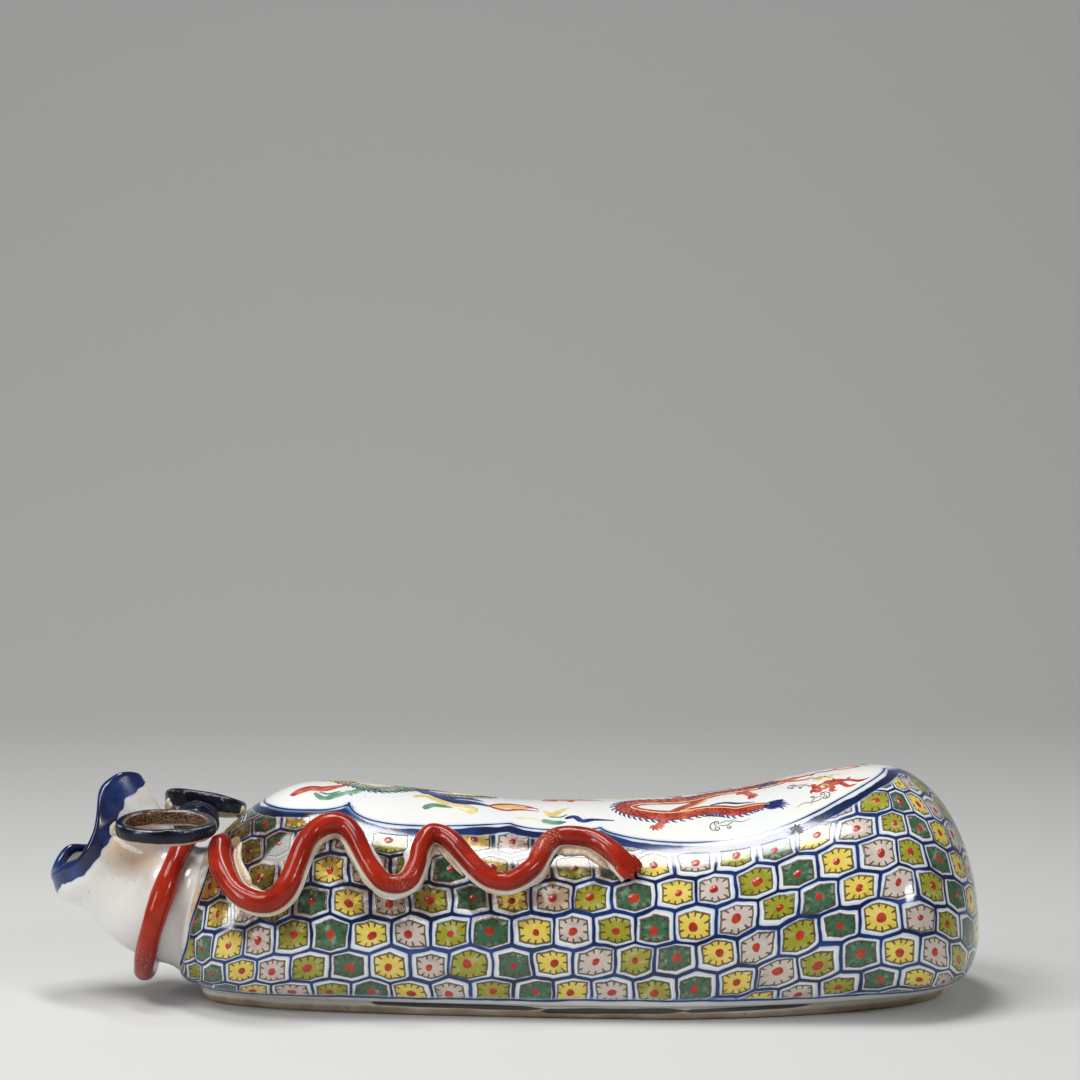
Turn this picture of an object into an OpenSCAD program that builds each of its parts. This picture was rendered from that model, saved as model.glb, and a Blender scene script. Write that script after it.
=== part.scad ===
// A ceramic pillow made as a tied cloth bag: a hollow bag on a flat foot, a saddle-shaped headrest panel
// on top, and a gathered neck bound with a clay cord whose bow and tails lie on the bag.
// Millimetres. The foot stands on z = 0, x runs along the bag with the mouth at -x, the front is -y.

/* [Bag] */
// Length of the bag from the neck joint to the round end
body_l = 340; // [318:1:362]
// Width of the bag across its belly near the round end
belly_w = 134; // [120:1:150]
// Width of the bag across its belly at the shoulder
shoulder_w = 116; // [104:1:128]
// Height of the belly, where the bag is widest
belly_z = 30; // [25:1:36]
// Height of the crest at the round end
end_crest_z = 100.5; // [94:0.5:110]
// Height of the lowest place of the saddle
saddle_z = 85; // [78:1:92]
// Height of the crest at the shoulder
shoulder_crest_z = 93.5; // [88:0.5:100]
// Distance of the lowest place of the saddle from the round end
saddle_from_end = 186; // [165:1:200]
// Length of the round end past its crest
end_l = 44; // [36:1:50]
// Length of the shoulder between the neck joint and its crest
shoulder_l = 54; // [46:1:62]
// Thickness of the clay wall
wall_t = 6; // [4:0.5:8]

/* [Headrest panel] */
// Width of the panel across the saddle
panel_w = 100; // [88:1:108]
// How far the panel reaches past the shoulder crest
panel_past_shoulder = 26; // [18:1:32]
// How far the panel reaches past the crest of the round end
panel_past_end = 14; // [10:1:18]

/* [Foot] */
// Length of the flat foot slab
foot_l = 322; // [306:1:334]
// Width of the foot slab at its widest place
foot_w = 108; // [96:1:116]
// Distance of the widest place of the foot from the round end
foot_wide_from_end = 140; // [120:1:170]
// Thickness of the foot slab
foot_t = 6; // [4.5:0.5:8]
// How far the round end hangs over the foot
foot_overhang = 14; // [10:1:20]

/* [Neck and mouth] */
// Height of the middle of the neck joint
neck_z = 39.5; // [37:0.5:43]
// Height of the neck at its joint
neck_h = 52; // [46:1:56]
// Width of the neck at its joint
neck_w = 56; // [50:1:62]
// Lean of the neck joint
neck_tilt = 13; // [8:1:18]
// Length of the collar under the cord
collar_l = 22; // [20:1:27]
// Length of the mouth along its middle
mouth_l = 35; // [30:1:40]
// Upward turn of the mouth
mouth_rise = 55; // [48:1:60]
// Length over which the neck turns upward
turn_l = 30; // [28:1:34]
// Height of the mouth at its rim, along its lean
mouth_h = 53; // [48:1:58]
// Width of the mouth at its rim
mouth_w = 58; // [52:1:64]
// Lean of the rim
mouth_tilt = 39; // [34:1:44]
// Narrowing of the upper part of the mouth, as a share of its width
mouth_pinch = 0.44; // [0.4:0.01:0.5]
// Depth of the folds at the rim
fold_d = 2.5; // [1:0.25:4]
// Thickness of the neck and mouth
neck_t = 5; // [4:0.5:6]

/* [Cord and bow] */
// Diameter of the cord around the neck
cord_d = 9.5; // [8:0.5:11]
// Distance of the cord from the neck joint
cord_s = 13; // [12:0.5:14]
// How much further from the joint the cord lies on top, and nearer below
cord_skew = 3.5; // [2.5:0.5:4.5]
// How far the knot sits from the cord towards the bag
knot_back = 5.5; // [4.5:0.5:6.5]
// Length of the bow knot along the bag
knot_w = 20; // [18:1:22]
// Depth of the bow knot across the bag
knot_d = 22; // [20:1:26]
// Height of the bow knot
knot_h = 17; // [14:1:20]
// Length of the front bow loop along the bag
front_loop_l = 44; // [38:1:48]
// Depth of the front bow loop across the bag
front_loop_w = 40; // [34:1:44]
// How far the middle of the front loop lies from the knot towards the mouth
front_loop_ahead = 12.7; // [12:0.1:13.4]
// Height of the front loop where it meets the knot, above the underside of the knot
front_loop_rise = 12.4; // [12:0.2:14]
// Droop of the front loop towards its outer side
front_loop_droop = 4; // [2:0.5:4.5]
// Length of the rear bow loop along the bag
rear_loop_l = 38; // [34:1:42]
// Depth of the rear bow loop across the bag
rear_loop_w = 36; // [32:1:40]
// How far the middle of the rear loop lies from the knot towards the bag
rear_loop_back = 1.3; // [0:0.1:2]
// Height of the rear loop where it meets the knot, above the underside of the knot
rear_loop_rise = 14.8; // [13.6:0.2:16]
// Droop of the rear loop towards its outer side
rear_loop_droop = 2; // [0:0.5:3]
// Fall of the rear loop along the bag
rear_loop_fall = 6; // [3:0.5:7]
// Diameter of the coil of the loops
loop_d = 9; // [7.5:0.5:10]
// Diameter of the coil of the tails
tail_d = 8.4; // [7:0.2:9.4]
// Reach of the front tail from the neck joint
front_tail_reach = 193; // [170:1:215]
// Reach of the rear tail from the neck joint
rear_tail_reach = 160; // [140:1:180]

/* [Hidden] */
// Play between the coils and the clay they lie on
lay = 0.2;
// Fullness of the crown, 1 is an ellipse and less is squarer
crown = 1;
// Lateness of the rise from the saddle to the round end, 1 is an even swing
saddle_rise = 1.7;
// Run of the crest towards the tip of the panel at the round end, as a share of the way
crest_run = 0.11;
// Fullness of the outline of the panel
panel_n = 3;
// Shoulder angle where the seam under the neck reaches the foot
seam_b = 72;
// Fullness of the outline of the foot, towards the neck and towards the round end
foot_neck_n = [1.2, 0.36];
foot_end_n = [2, 0.6];
// Upward turn of the neck where it leaves the bag
neck_rise = 3;
// Distance from the neck joint where the mouth begins to narrow, and the length of that
pinch_s = 6;
pinch_l = 26;
// Number of folds at the rim, and how they grow from the collar to the rim
fold_n = 4;
fold_growth = 1.5;
// Height and setback of the rounded lip, as shares of the thickness
lip = 0.3;
lip_back = 0.25;
// How deep a loop is pressed flat against the knot
loop_press = 1.5;
// The round start of a tail, and its flat, spread end over a number of places
tail_start = [0.55, 0.9];
tail_press_n = 4;
tail_flat = 0.27;
tail_spread = 0.24;
// Shoulder angle above which the inside of the wall closes in on the neck joint
inset_b = 78;
// Numbers of segments around the neck, along the collar, along the mouth and along the neck cord
ring_n = 40;
collar_m = 3;
mouth_m = 6;
cord_m = 44;
// Numbers of segments along the sides of the bag and around half of its round end
side_m = 20;
end_m = 10;
// Places of the section lines between the tip of the panel and the shoulder crest
crest_steps = [0.94, 0.82, 0.62, 0.41, 0.2];
// Number of segments across half of the panel
panel_m = 6;
// Numbers of sides of the coils and of segments around a loop
coil_n = 10;
loop_m = 36;
// Steps to the neighbouring places that give the directions on a wall
near_x = 2;
near_u = 0.03;
// Number of halvings when a place is searched, and a length that counts as none
halvings = 28;
tiny = 0.001;

x_end = foot_l / 2 + foot_overhang;
neck_x = x_end - body_l;
x0 = neck_x + shoulder_l;
x1 = x_end - end_l;
saddle_x = x_end - saddle_from_end;
wide_x = x_end - foot_wide_from_end;
panel_x0 = x0 - panel_past_shoulder;
panel_x1 = x1 + panel_past_end;
panel_c = (panel_x0 + panel_x1) / 2;
panel_r = (panel_x1 - panel_x0) / 2;
tube_l = collar_l + mouth_l;

// The front tail as it lies on the wall: share of its reach, share of the height between belly and crest
front_path = [[0.08, 0.84], [0.075, 0.74], [0.085, 0.61], [0.105, 0.48], [0.13, 0.39], [0.16, 0.34],
    [0.19, 0.33], [0.215, 0.37], [0.235, 0.45], [0.25, 0.56], [0.265, 0.66], [0.285, 0.73], [0.315, 0.77],
    [0.345, 0.77], [0.37, 0.72], [0.4, 0.58], [0.42, 0.505], [0.44, 0.455], [0.47, 0.445], [0.495, 0.485],
    [0.51, 0.58], [0.515, 0.66], [0.53, 0.74], [0.55, 0.765], [0.585, 0.725], [0.64, 0.575], [0.67, 0.515],
    [0.705, 0.5], [0.735, 0.535], [0.765, 0.605], [0.78, 0.685], [0.795, 0.75], [0.82, 0.79], [0.86, 0.79],
    [0.895, 0.77], [0.925, 0.72], [0.955, 0.65], [1, 0.51]];

// The rear tail, laid the same way with fewer waves
rear_path = [[0.1, 0.62], [0.135, 0.46], [0.19, 0.36], [0.25, 0.4], [0.3, 0.56], [0.36, 0.7], [0.43, 0.74],
    [0.5, 0.63], [0.56, 0.5], [0.63, 0.44], [0.7, 0.52], [0.76, 0.66], [0.82, 0.75], [0.89, 0.74],
    [0.96, 0.66], [1, 0.56]];

function ramp(a, b, t) = let (u = min(1, max(0, t))) a + (b - a) * (1 - cos(180 * u)) / 2;
function unit(v) = v / norm(v);

// Heights and half widths of the bag along x
function crest_at(x) = x < saddle_x ? ramp(shoulder_crest_z, saddle_z, (x - x0) / (saddle_x - x0))
    : ramp(saddle_z, end_crest_z, pow(max(0, x - saddle_x) / (x1 - saddle_x), saddle_rise));
function belly_at(x) = ramp(shoulder_w, belly_w, (x - x0) / (x1 - x0)) / 2;
function foot_at(x, t) = let (u = abs(x - wide_x) / (foot_l / 2 - t + (x < wide_x ? wide_x : -wide_x)))
    let (q = x < wide_x ? foot_neck_n : foot_end_n) (foot_w / 2 - t) * pow(max(0, 1 - pow(u, q[0])), q[1]);

// One section line of the bag, t under its surface:
// [spine x, belly x, belly y, foot x, foot y, foot z, belly z, crest z, fullness, round end or not]
function side_line(x, t) = [x, x, belly_at(x) - t, x, foot_at(x, t), foot_t, belly_z, crest_at(x) - t, crown,
    false];
function end_line(a, t) = let (fx = x1 + (foot_l / 2 - x1 - t) * cos(a))
    [x1 + panel_past_end * crest_run * (1 - a / 90), x1 + (end_l - t) * cos(a), (belly_w / 2 - t) * sin(a),
    fx, a == 0 ? 0 : foot_at(fx, t), foot_t, belly_z, end_crest_z - t, crown, true];
function shoulder_line(b, t) = let (
    s = sin(b), c = cos(b), a = neck_h / 2 - t, h = neck_w / 2 - t,
    dx = a * sin(neck_tilt), dz = a * cos(neck_tilt),
    in = t * (1 - pow(max(0, (b - inset_b) / (90 - inset_b)), 2)),
    f0 = t - foot_l / 2, g = 90 * (90 - b) / (90 - seam_b), e = 90 * b / seam_b, low = b > seam_b)
    [x0 - (x0 - neck_x - dx - in) * s, x0 - (x0 - neck_x - in) * s, h + (shoulder_w / 2 - t - h) * c,
    low ? f0 - (f0 - neck_x + dx) * cos(g) : x0 - (x0 - f0) * sin(e),
    low || b == seam_b ? 0 : foot_at(x0 - (x0 - f0) * sin(e), t),
    low ? neck_z - dz - (neck_z - dz - foot_t) * sin(g) : foot_t,
    belly_z + (neck_z - belly_z) * (1 - c),
    neck_z + dz + (shoulder_crest_z - t - neck_z - dz) * sin(90 * (1 - s)), 1 + (crown - 1) * c, false];

// All section lines from the neck to the round end, as [kind, place]
tip_b = asin(panel_past_shoulder / (x0 - neck_x - neck_h / 2 * sin(neck_tilt)));
lines = concat([for (k = [0:2]) [0, 90 - (90 - seam_b) * k / 3]],
    [for (k = [0:5]) [0, seam_b + (tip_b - seam_b) * k / 5]],
    [for (k = crest_steps) [0, tip_b * k]],
    [for (i = [0:side_m]) [1, x0 + (x1 - x0) * i / side_m]],
    [for (i = [end_m - 1:-1:0]) [2, 90 * i / end_m]]);
// The section line at the shoulder tip of the panel
tip = 8;
n = len(lines);
m = ring_n / 2;
function line_at(i, t) = lines[i][0] == 0 ? shoulder_line(lines[i][1], t)
    : lines[i][0] == 1 ? side_line(lines[i][1], t) : end_line(lines[i][1], t);

// A place on a section line: -90 at the foot, 0 at the belly, 90 at the crest
function skin(q, f, side) = let (c = cos(f), s = sin(f), k = pow(max(0, c), q[8]))
    f < 0 ? [q[9] ? q[3] + (q[1] - q[3]) * c : q[1] - (q[3] - q[1]) * s, side * (q[4] + (q[2] - q[4]) * c),
        q[6] + (q[6] - q[5]) * s]
    : [q[9] ? q[0] + (q[1] - q[0]) * k : q[1] + (q[0] - q[1]) * s, side * q[2] * k,
        q[6] + (q[7] - q[6]) * pow(s, q[8])];

// The edge of the panel on each section line, 90 where there is no panel
function panel_reach(p) = pow(abs(p[0] - panel_c) / panel_r, panel_n)
    + pow(abs(p[1]) / (panel_w / 2), panel_n);
function edge_find(q, lo, hi, k) = k == 0 ? (lo + hi) / 2 : let (mid = (lo + hi) / 2)
    panel_reach(skin(q, mid, 1)) > 1 ? edge_find(q, mid, hi, k - 1) : edge_find(q, lo, mid, k - 1);
edge = [for (i = [0:n - 1]) i <= tip ? 90 : edge_find(line_at(i, 0), 0, 90, halvings)];

// Places along the neck and mouth: s along the middle, psi around it with 90 on top, t under the surface
function tube_c(s) = let (k = (mouth_rise - neck_rise) / turn_l, r = 180 / (PI * k), u = min(s, turn_l),
    a = neck_rise + k * u) [neck_x - r * (sin(a) - sin(neck_rise)) - (s - u) * cos(a),
    neck_z + r * (cos(neck_rise) - cos(a)) + (s - u) * sin(a)];
function tube_at(s, psi, t) = let (c = tube_c(s), f = s / tube_l,
    lean = neck_tilt + (mouth_tilt - neck_tilt) * min(1, s / turn_l),
    w = fold_d * pow(max(0, (s - collar_l) / mouth_l), fold_growth) * cos(fold_n * (psi - 90)),
    pinch = 1 - ramp(0, mouth_pinch, (s - pinch_s) / pinch_l) * (1 + sin(psi)) / 2,
    v = ((neck_h + (mouth_h - neck_h) * f) / 2 + w - t) * sin(psi))
    [c[0] + v * sin(lean), -(((neck_w + (mouth_w - neck_w) * f) / 2 + w) * pinch - t) * cos(psi),
    c[1] + v * cos(lean)];
function tube_ring(s, t) = [for (k = [0:ring_n - 1]) tube_at(s, 360 * k / ring_n - 90, t)];

// The place of a tail on a wall, and the direction away from the wall
function wall_line(x) = x < x0 ? shoulder_line(asin(min(1, (x0 - x) / (x0 - neck_x))), 0)
    : side_line(min(x, x1), 0);
function wall_at(d, u, side) = let (q = wall_line(neck_x + d)) skin(q, asin(pow(u, 1 / q[8])), side);
function wall_out(d, u, side) = unit(side * cross(
    wall_at(d, u + near_u, side) - wall_at(d, u - near_u, side),
    wall_at(d + near_x, u, side) - wall_at(d - near_x, u, side)));
function bend(p, i, t) = let (k = len(p) - 1, a = p[max(0, i - 1)], b = p[i], c = p[i + 1],
    d = p[min(k, i + 2)])
    b + 0.5 * t * (c - a + t * (2 * a - 5 * b + 4 * c - d + t * (3 * b - a - 3 * c + d)));
function smooth(p, k) = [for (i = [0:len(p) - 2], j = [0:k - 1]) bend(p, i, j / k), p[len(p) - 1]];

// Rings of a coil along a path: a point, the direction out, the direction along, and the two half sizes
function coil_ring(p, out, along, ro, rs) = let (b = unit(cross(along, out)), o = cross(b, along))
    [for (k = [0:coil_n - 1]) let (q = 360 * (k + 0.5) / coil_n) p + ro * cos(q) * o + rs * sin(q) * b];

// A closed body from rings that follow each other in a circle
module ring_body(rings) {
    r = len(rings);
    k = len(rings[0]);
    polyhedron([for (a = rings) for (p = a) p], [for (i = [0:r - 1], j = [0:k - 1])
        let (a = i * k + j, b = ((i + 1) % r) * k + j, c = ((i + 1) % r) * k + (j + 1) % k,
            d = i * k + (j + 1) % k) each [[a, b, c], [a, c, d]]], convexity = 6);
}

// A closed body from rings that follow each other from one end to the other
module rod_body(rings) {
    r = len(rings);
    k = len(rings[0]);
    polyhedron([for (a = rings) for (p = a) p], concat([for (i = [0:r - 2], j = [0:k - 1])
        let (a = i * k + j, b = (i + 1) * k + j, c = (i + 1) * k + (j + 1) % k, d = i * k + (j + 1) % k)
        each [[a, b, c], [a, c, d]]],
        [for (j = [1:k - 2]) [0, j, j + 1]],
        [for (j = [1:k - 2]) let (a = (r - 1) * k) [a, a + j + 1, a + j]]), convexity = 6);
}

// One side wall of the bag from the foot up to the panel, -1 the front and 1 the rear
module side_wall(side) {
    pts = [for (t = [0, wall_t]) for (i = [0:n - 1]) let (q = line_at(i, t)) for (j = [0:m])
        skin(q, -90 + (edge[i] + 90) * j / m, side)];
    w = m + 1;
    h = n * w;
    faces = concat(
        [for (i = [0:n - 2], j = [0:m - 1]) let (a = i * w + j, b = a + 1, c = a + w + 1, d = a + w)
            each [[a, b, c], [a, c, d], [h + a, h + c, h + b], [h + a, h + d, h + c]]],
        [for (i = [0:n - 2]) let (a = i * w, d = a + w) each [[a, d, h + d], [a, h + d, h + a]]],
        [for (i = [0:n - 2]) let (b = i * w + m, c = b + w) each [[c, b, h + c], [b, h + b, h + c]]],
        [for (j = [0:m - 1]) each [[j + 1, j, h + j], [j + 1, h + j, h + j + 1]]],
        [for (j = [0:m - 1]) let (d = (n - 1) * w + j) each [[d, d + 1, h + d + 1], [d, h + d + 1, h + d]]]);
    polyhedron(pts, side < 0 ? faces : [for (f = faces) [f[2], f[1], f[0]]], convexity = 8);
}

// The flat slab the walls stand on
module base_slab() color([0.62, 0.52, 0.4]) linear_extrude(foot_t) polygon(concat(
    [for (i = [3:n - 1]) let (q = line_at(i, 0)) [q[3], -q[4]]],
    [for (i = [n - 2:-1:4]) let (q = line_at(i, 0)) [q[3], q[4]]]));

// The two pressed side walls, joined to each other along the middle at both ends
module front_wall() color([0.86, 0.87, 0.88]) side_wall(-1);
module rear_wall() color([0.82, 0.84, 0.86]) side_wall(1);

// The curved panel the head rests on, let in between the walls
module headrest_panel() {
    r = n - 1 - tip;
    w = 2 * panel_m + 1;
    pts = [for (t = [0, wall_t]) each concat([skin(line_at(tip, t), 90, 1)],
        [for (i = [tip + 1:n - 2]) let (q = line_at(i, t)) for (k = [0:2 * panel_m])
            skin(q, edge[i] + (90 - edge[i]) * min(k, 2 * panel_m - k) / panel_m, k > panel_m ? 1 : -1)],
        [for (k = [0:panel_m]) skin(line_at(n - 1, t), edge[n - 1] + (90 - edge[n - 1]) * k / panel_m, -1)])];
    h = len(pts) / 2;
    id = [for (i = [0:r]) [for (k = [0:2 * panel_m]) i == 0 ? 0
        : i == r ? 1 + (r - 1) * w + min(k, 2 * panel_m - k) : 1 + (i - 1) * w + k]];
    color([0.95, 0.95, 0.94]) polyhedron(pts, concat(
        [for (k = [0:2 * panel_m - 1]) let (a = 0, c = id[1][k + 1], d = id[1][k])
            each [[a, c, d], [h + a, h + d, h + c]]],
        [for (i = [1:r - 1], k = [0:2 * panel_m - 1]) let (a = id[i][k], b = id[i][k + 1],
            c = id[i + 1][k + 1], d = id[i + 1][k])
            each [[a, b, c], [a, c, d], [h + a, h + c, h + b], [h + a, h + d, h + c]]],
        [for (i = [0:r - 1]) let (a = id[i][0], d = id[i + 1][0]) each [[a, d, h + d], [a, h + d, h + a]]],
        [for (i = [0:r - 1]) let (b = id[i][2 * panel_m], c = id[i + 1][2 * panel_m])
            each [[c, b, h + c], [b, h + b, h + c]]]), convexity = 6);
}

// The short collar that the cord binds
module neck_collar() color([0.93, 0.93, 0.91]) ring_body(concat(
    [for (i = [0:collar_m]) tube_ring(collar_l * i / collar_m, 0)],
    [for (i = [collar_m:-1:0]) tube_ring(collar_l * i / collar_m, neck_t)]));

// The flaring mouth of the bag with its folded rim
module mouth_frill() color([0.9, 0.91, 0.94]) ring_body(concat(
    [for (i = [0:mouth_m]) tube_ring(collar_l + mouth_l * i / mouth_m, 0)],
    [for (t = [lip_back, 1 - lip_back]) tube_ring(tube_l + neck_t * lip, neck_t * t)],
    [for (i = [mouth_m:-1:0]) tube_ring(collar_l + mouth_l * i / mouth_m, neck_t)]));

// The cord around the neck, its two ends meeting the knot
function cord_at(psi, t) = tube_at(cord_s + cord_skew * sin(psi), psi, t);
function cord_end(lo, hi, k) = k == 0 ? (lo + hi) / 2 : let (mid = (lo + hi) / 2)
    abs(cord_at(mid, -cord_d / 2 - lay)[1]) > knot_d / 2 ? cord_end(mid, hi, k - 1)
    : cord_end(lo, mid, k - 1);
module neck_cord() {
    top = cord_end(0, 90, halvings);
    turn = [for (i = [0:cord_m]) top - (180 + 2 * top) * i / cord_m];
    path = [for (a = turn) cord_at(a, -cord_d / 2 - lay)];
    out = [for (i = [0:cord_m]) cord_at(turn[i], -cord_d) - path[i]];
    color([0.7, 0.16, 0.09]) rod_body([for (i = [0:cord_m]) coil_ring(path[i], out[i],
        i % cord_m == 0 ? [0, -1, 0] : unit(path[i + 1] - path[i - 1]), cord_d / 2, cord_d / 2)]);
}

// Middle of the underside of the knot in the valley between the shoulder and the mouth
knot_p = cord_at(90, 0) + [knot_back, 0, 2 * lay];

// The knot of the bow, flat in front and behind where the cord and the loops meet it
module bow_knot() color([0.12, 0.14, 0.3]) translate(knot_p) rotate([90, 0, 0])
    linear_extrude(knot_d, center = true) translate([0, knot_h / 2]) scale([knot_w, knot_h])
    circle(d = 1, $fn = ring_n);

// A loop of the bow: a closed coil, flat where it meets the knot
module bow_loop(side, l, w, x, z_far, drop, fall) {
    rx = (l - loop_d) / 2;
    ry = (w - loop_d) / 2;
    far = knot_d / 2;
    flat = loop_d / 2 * cos(180 / coil_n);
    mid = far + w / 2 - loop_press;
    path = [for (i = [0:loop_m - 1]) let (a = 360 * i / loop_m, y = max(far + flat, mid + ry * cos(a)),
        dx = rx * sin(a)) [x + dx, side * y, z_far - drop * (y - far) / w - fall * dx / l]];
    along = [for (i = [0:loop_m - 1]) path[(i + 1) % loop_m] - path[(i + loop_m - 1) % loop_m]];
    out = [for (i = [0:loop_m - 1]) abs(path[i][1]) - far - flat < tiny ? [0, -side, 0]
        : side * unit([-along[i][1], along[i][0], 0])];
    color([0.08, 0.09, 0.2]) ring_body([for (i = [0:loop_m - 1])
        coil_ring(path[i], out[i], side * cross(out[i], [0, 0, 1]), loop_d / 2, loop_d / 2)]);
}
module front_bow_loop() bow_loop(-1, front_loop_l, front_loop_w, knot_p[0] - front_loop_ahead,
    knot_p[2] + front_loop_rise, front_loop_droop, 0);
module rear_bow_loop() bow_loop(1, rear_loop_l, rear_loop_w, knot_p[0] + rear_loop_back,
    knot_p[2] + rear_loop_rise, rear_loop_droop, rear_loop_fall);

// A tail of the cord snaking over a wall, round at its start and pressed out flat at its end
module cord_tail(path, reach, side) {
    p = smooth(path, 2);
    k = len(p) - 1;
    mid = [for (i = [0:k]) wall_at(p[i][0] * reach, p[i][1], side)];
    out = [for (i = [0:k]) wall_out(p[i][0] * reach, p[i][1], side)];
    start = [for (i = [0:k]) i < len(tail_start) ? tail_start[i] : 1];
    end = [for (i = [0:k]) max(0, 1 - (k - i) / tail_press_n)];
    ro = [for (i = [0:k]) tail_d / 2 * start[i] * (1 - tail_flat * end[i])];
    rs = [for (i = [0:k]) tail_d / 2 * start[i] * (1 + tail_spread * end[i])];
    c = [for (i = [0:k]) mid[i] + (tail_d / 2 + lay) * out[i]];
    color([0.72, 0.18, 0.1]) rod_body([for (i = [0:k]) coil_ring(mid[i] + (ro[i] + lay) * out[i], out[i],
        unit(c[min(k, i + 1)] - c[max(0, i - 1)]), ro[i], rs[i])]);
}
module front_cord_tail() cord_tail(front_path, front_tail_reach, -1);
module rear_cord_tail() cord_tail(rear_path, rear_tail_reach, 1);

base_slab();
front_wall();
rear_wall();
headrest_panel();
neck_collar();
mouth_frill();
neck_cord();
bow_knot();
front_bow_loop();
rear_bow_loop();
front_cord_tail();
rear_cord_tail();
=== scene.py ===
"""A ceramic pillow made as a tied cloth bag, finished in glaze, cobalt and enamels around its solids."""

import bmesh
import bpy
import numpy as np
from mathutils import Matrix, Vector
from mathutils.bvhtree import BVHTree
from mathutils.kdtree import KDTree


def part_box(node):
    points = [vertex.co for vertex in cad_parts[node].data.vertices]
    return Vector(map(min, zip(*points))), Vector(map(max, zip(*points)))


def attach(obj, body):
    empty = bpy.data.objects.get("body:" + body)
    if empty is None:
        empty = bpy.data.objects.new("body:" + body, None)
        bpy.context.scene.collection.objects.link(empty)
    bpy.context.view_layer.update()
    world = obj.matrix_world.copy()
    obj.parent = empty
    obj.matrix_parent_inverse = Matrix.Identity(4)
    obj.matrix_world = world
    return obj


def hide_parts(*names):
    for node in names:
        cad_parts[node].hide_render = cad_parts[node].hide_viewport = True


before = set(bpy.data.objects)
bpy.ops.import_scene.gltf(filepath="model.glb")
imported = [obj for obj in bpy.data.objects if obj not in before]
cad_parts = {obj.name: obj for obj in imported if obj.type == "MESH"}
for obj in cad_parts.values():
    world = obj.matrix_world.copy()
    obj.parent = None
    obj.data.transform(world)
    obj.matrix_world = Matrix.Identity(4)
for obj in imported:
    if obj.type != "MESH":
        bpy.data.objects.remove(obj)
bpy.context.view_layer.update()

# The foot slab: buff clay cut flat with a wire, its lower edge softened with a wet sponge.
# It carries the two walls. Glaze and dark brush strokes run down onto its upper edge, and the rest is bare.
# Lengths are millimetres and become metres when a mesh is made. Places in materials are metres.
MM = 0.001


def corners(node):
    """The lowest and highest corner of a solid."""
    return [np.array(corner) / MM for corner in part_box(node)]


def mesh_piece(name, points, faces, material, uv=None, normals=None, values=None):
    """A smooth piece, with points that coincide merged and faces that lie on each other left out."""
    _, first, place = np.unique(np.round(points, 4), axis=0, return_index=True, return_inverse=True)
    place = place.reshape(-1)
    kept = {}
    for face in faces:
        ring = [int(place[v]) for v in face]
        ring = [v for k, v in enumerate(ring) if v != ring[k - 1]]
        if len(set(ring)) == len(ring) > 2:
            kept.setdefault(frozenset(ring), []).append(ring)
    rings = [found[0] for found in kept.values() if len(found) == 1]
    mesh = bpy.data.meshes.new(name)
    mesh.from_pydata((np.asarray(points)[first] * MM).tolist(), [], rings)
    mesh.shade_smooth()
    for label, array in (values or {}).items():
        layer = mesh.attributes.new(label, "FLOAT", "POINT")
        layer.data.foreach_set("value", np.asarray(array, np.float32)[first])
    if uv is not None:
        loops = np.zeros(len(mesh.loops), np.int32)
        mesh.loops.foreach_get("vertex_index", loops)
        layer = mesh.uv_layers.new(name="Cells")
        layer.data.foreach_set("uv", np.asarray(uv, np.float32)[first][loops].ravel())
    if normals is not None:
        mesh.normals_split_custom_set_from_vertices(np.asarray(normals)[first].tolist())
    mesh.materials.append(material)
    piece = bpy.data.objects.new(name, mesh)
    bpy.context.scene.collection.objects.link(piece)
    return piece


def fix_on(piece, node=None):
    """Fixes a piece to the one fired body, in place of a solid where it stands for one."""
    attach(piece, "root")
    if node:
        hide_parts(node)
    return piece


class Value:
    """A value, colour or place that changes over a surface. A sum with it becomes a node in its tree."""

    def __init__(self, socket):
        self.socket = socket
        self.tree = socket.id_data

    def __add__(self, other):
        return calc("ADD", self, other)

    def __sub__(self, other):
        return calc("SUBTRACT", self, other)

    def __rsub__(self, other):
        return calc("SUBTRACT", other, self)

    def __mul__(self, other):
        return calc("MULTIPLY", self, other)

    def __truediv__(self, other):
        return calc("DIVIDE", self, other)

    def __abs__(self):
        return calc("ABSOLUTE", self)

    __radd__ = __add__
    __rmul__ = __mul__


def put(socket, value):
    """Links a value to an input, or sets the input to a plain number or colour."""
    if isinstance(value, Value):
        value = value.socket
    if isinstance(value, bpy.types.NodeSocket):
        socket.id_data.links.new(value, socket)
    else:
        socket.default_value = value


def node_with(values, kind, **settings):
    """A new node in the tree that the values come from, with the values in its first inputs."""
    tree = next(value.tree for value in values if isinstance(value, Value))
    node = tree.nodes.new(kind)
    for label, setting in settings.items():
        setattr(node, label, setting)
    for socket, value in zip(node.inputs, values):
        put(socket, value)
    return node


def calc(operation, *values):
    """One step of a sum on values."""
    return Value(node_with(values, "ShaderNodeMath", operation=operation).outputs[0])


def fade(value, low, high):
    """0 below low, 1 above high, smooth between them."""
    node = node_with([value], "ShaderNodeMapRange", interpolation_type="SMOOTHSTEP")
    node.inputs["From Min"].default_value = low
    node.inputs["From Max"].default_value = high
    return Value(node.outputs[0])


def mix(share, under, over, blend="MIX"):
    """One colour laid over another."""
    tree = next(value.tree for value in (share, under, over) if isinstance(value, Value))
    node = tree.nodes.new("ShaderNodeMix")
    node.data_type = "RGBA"
    node.blend_type = blend
    for index, value in ((0, share), (6, under), (7, over)):
        put(node.inputs[index], value)
    return Value(node.outputs[2])


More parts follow.
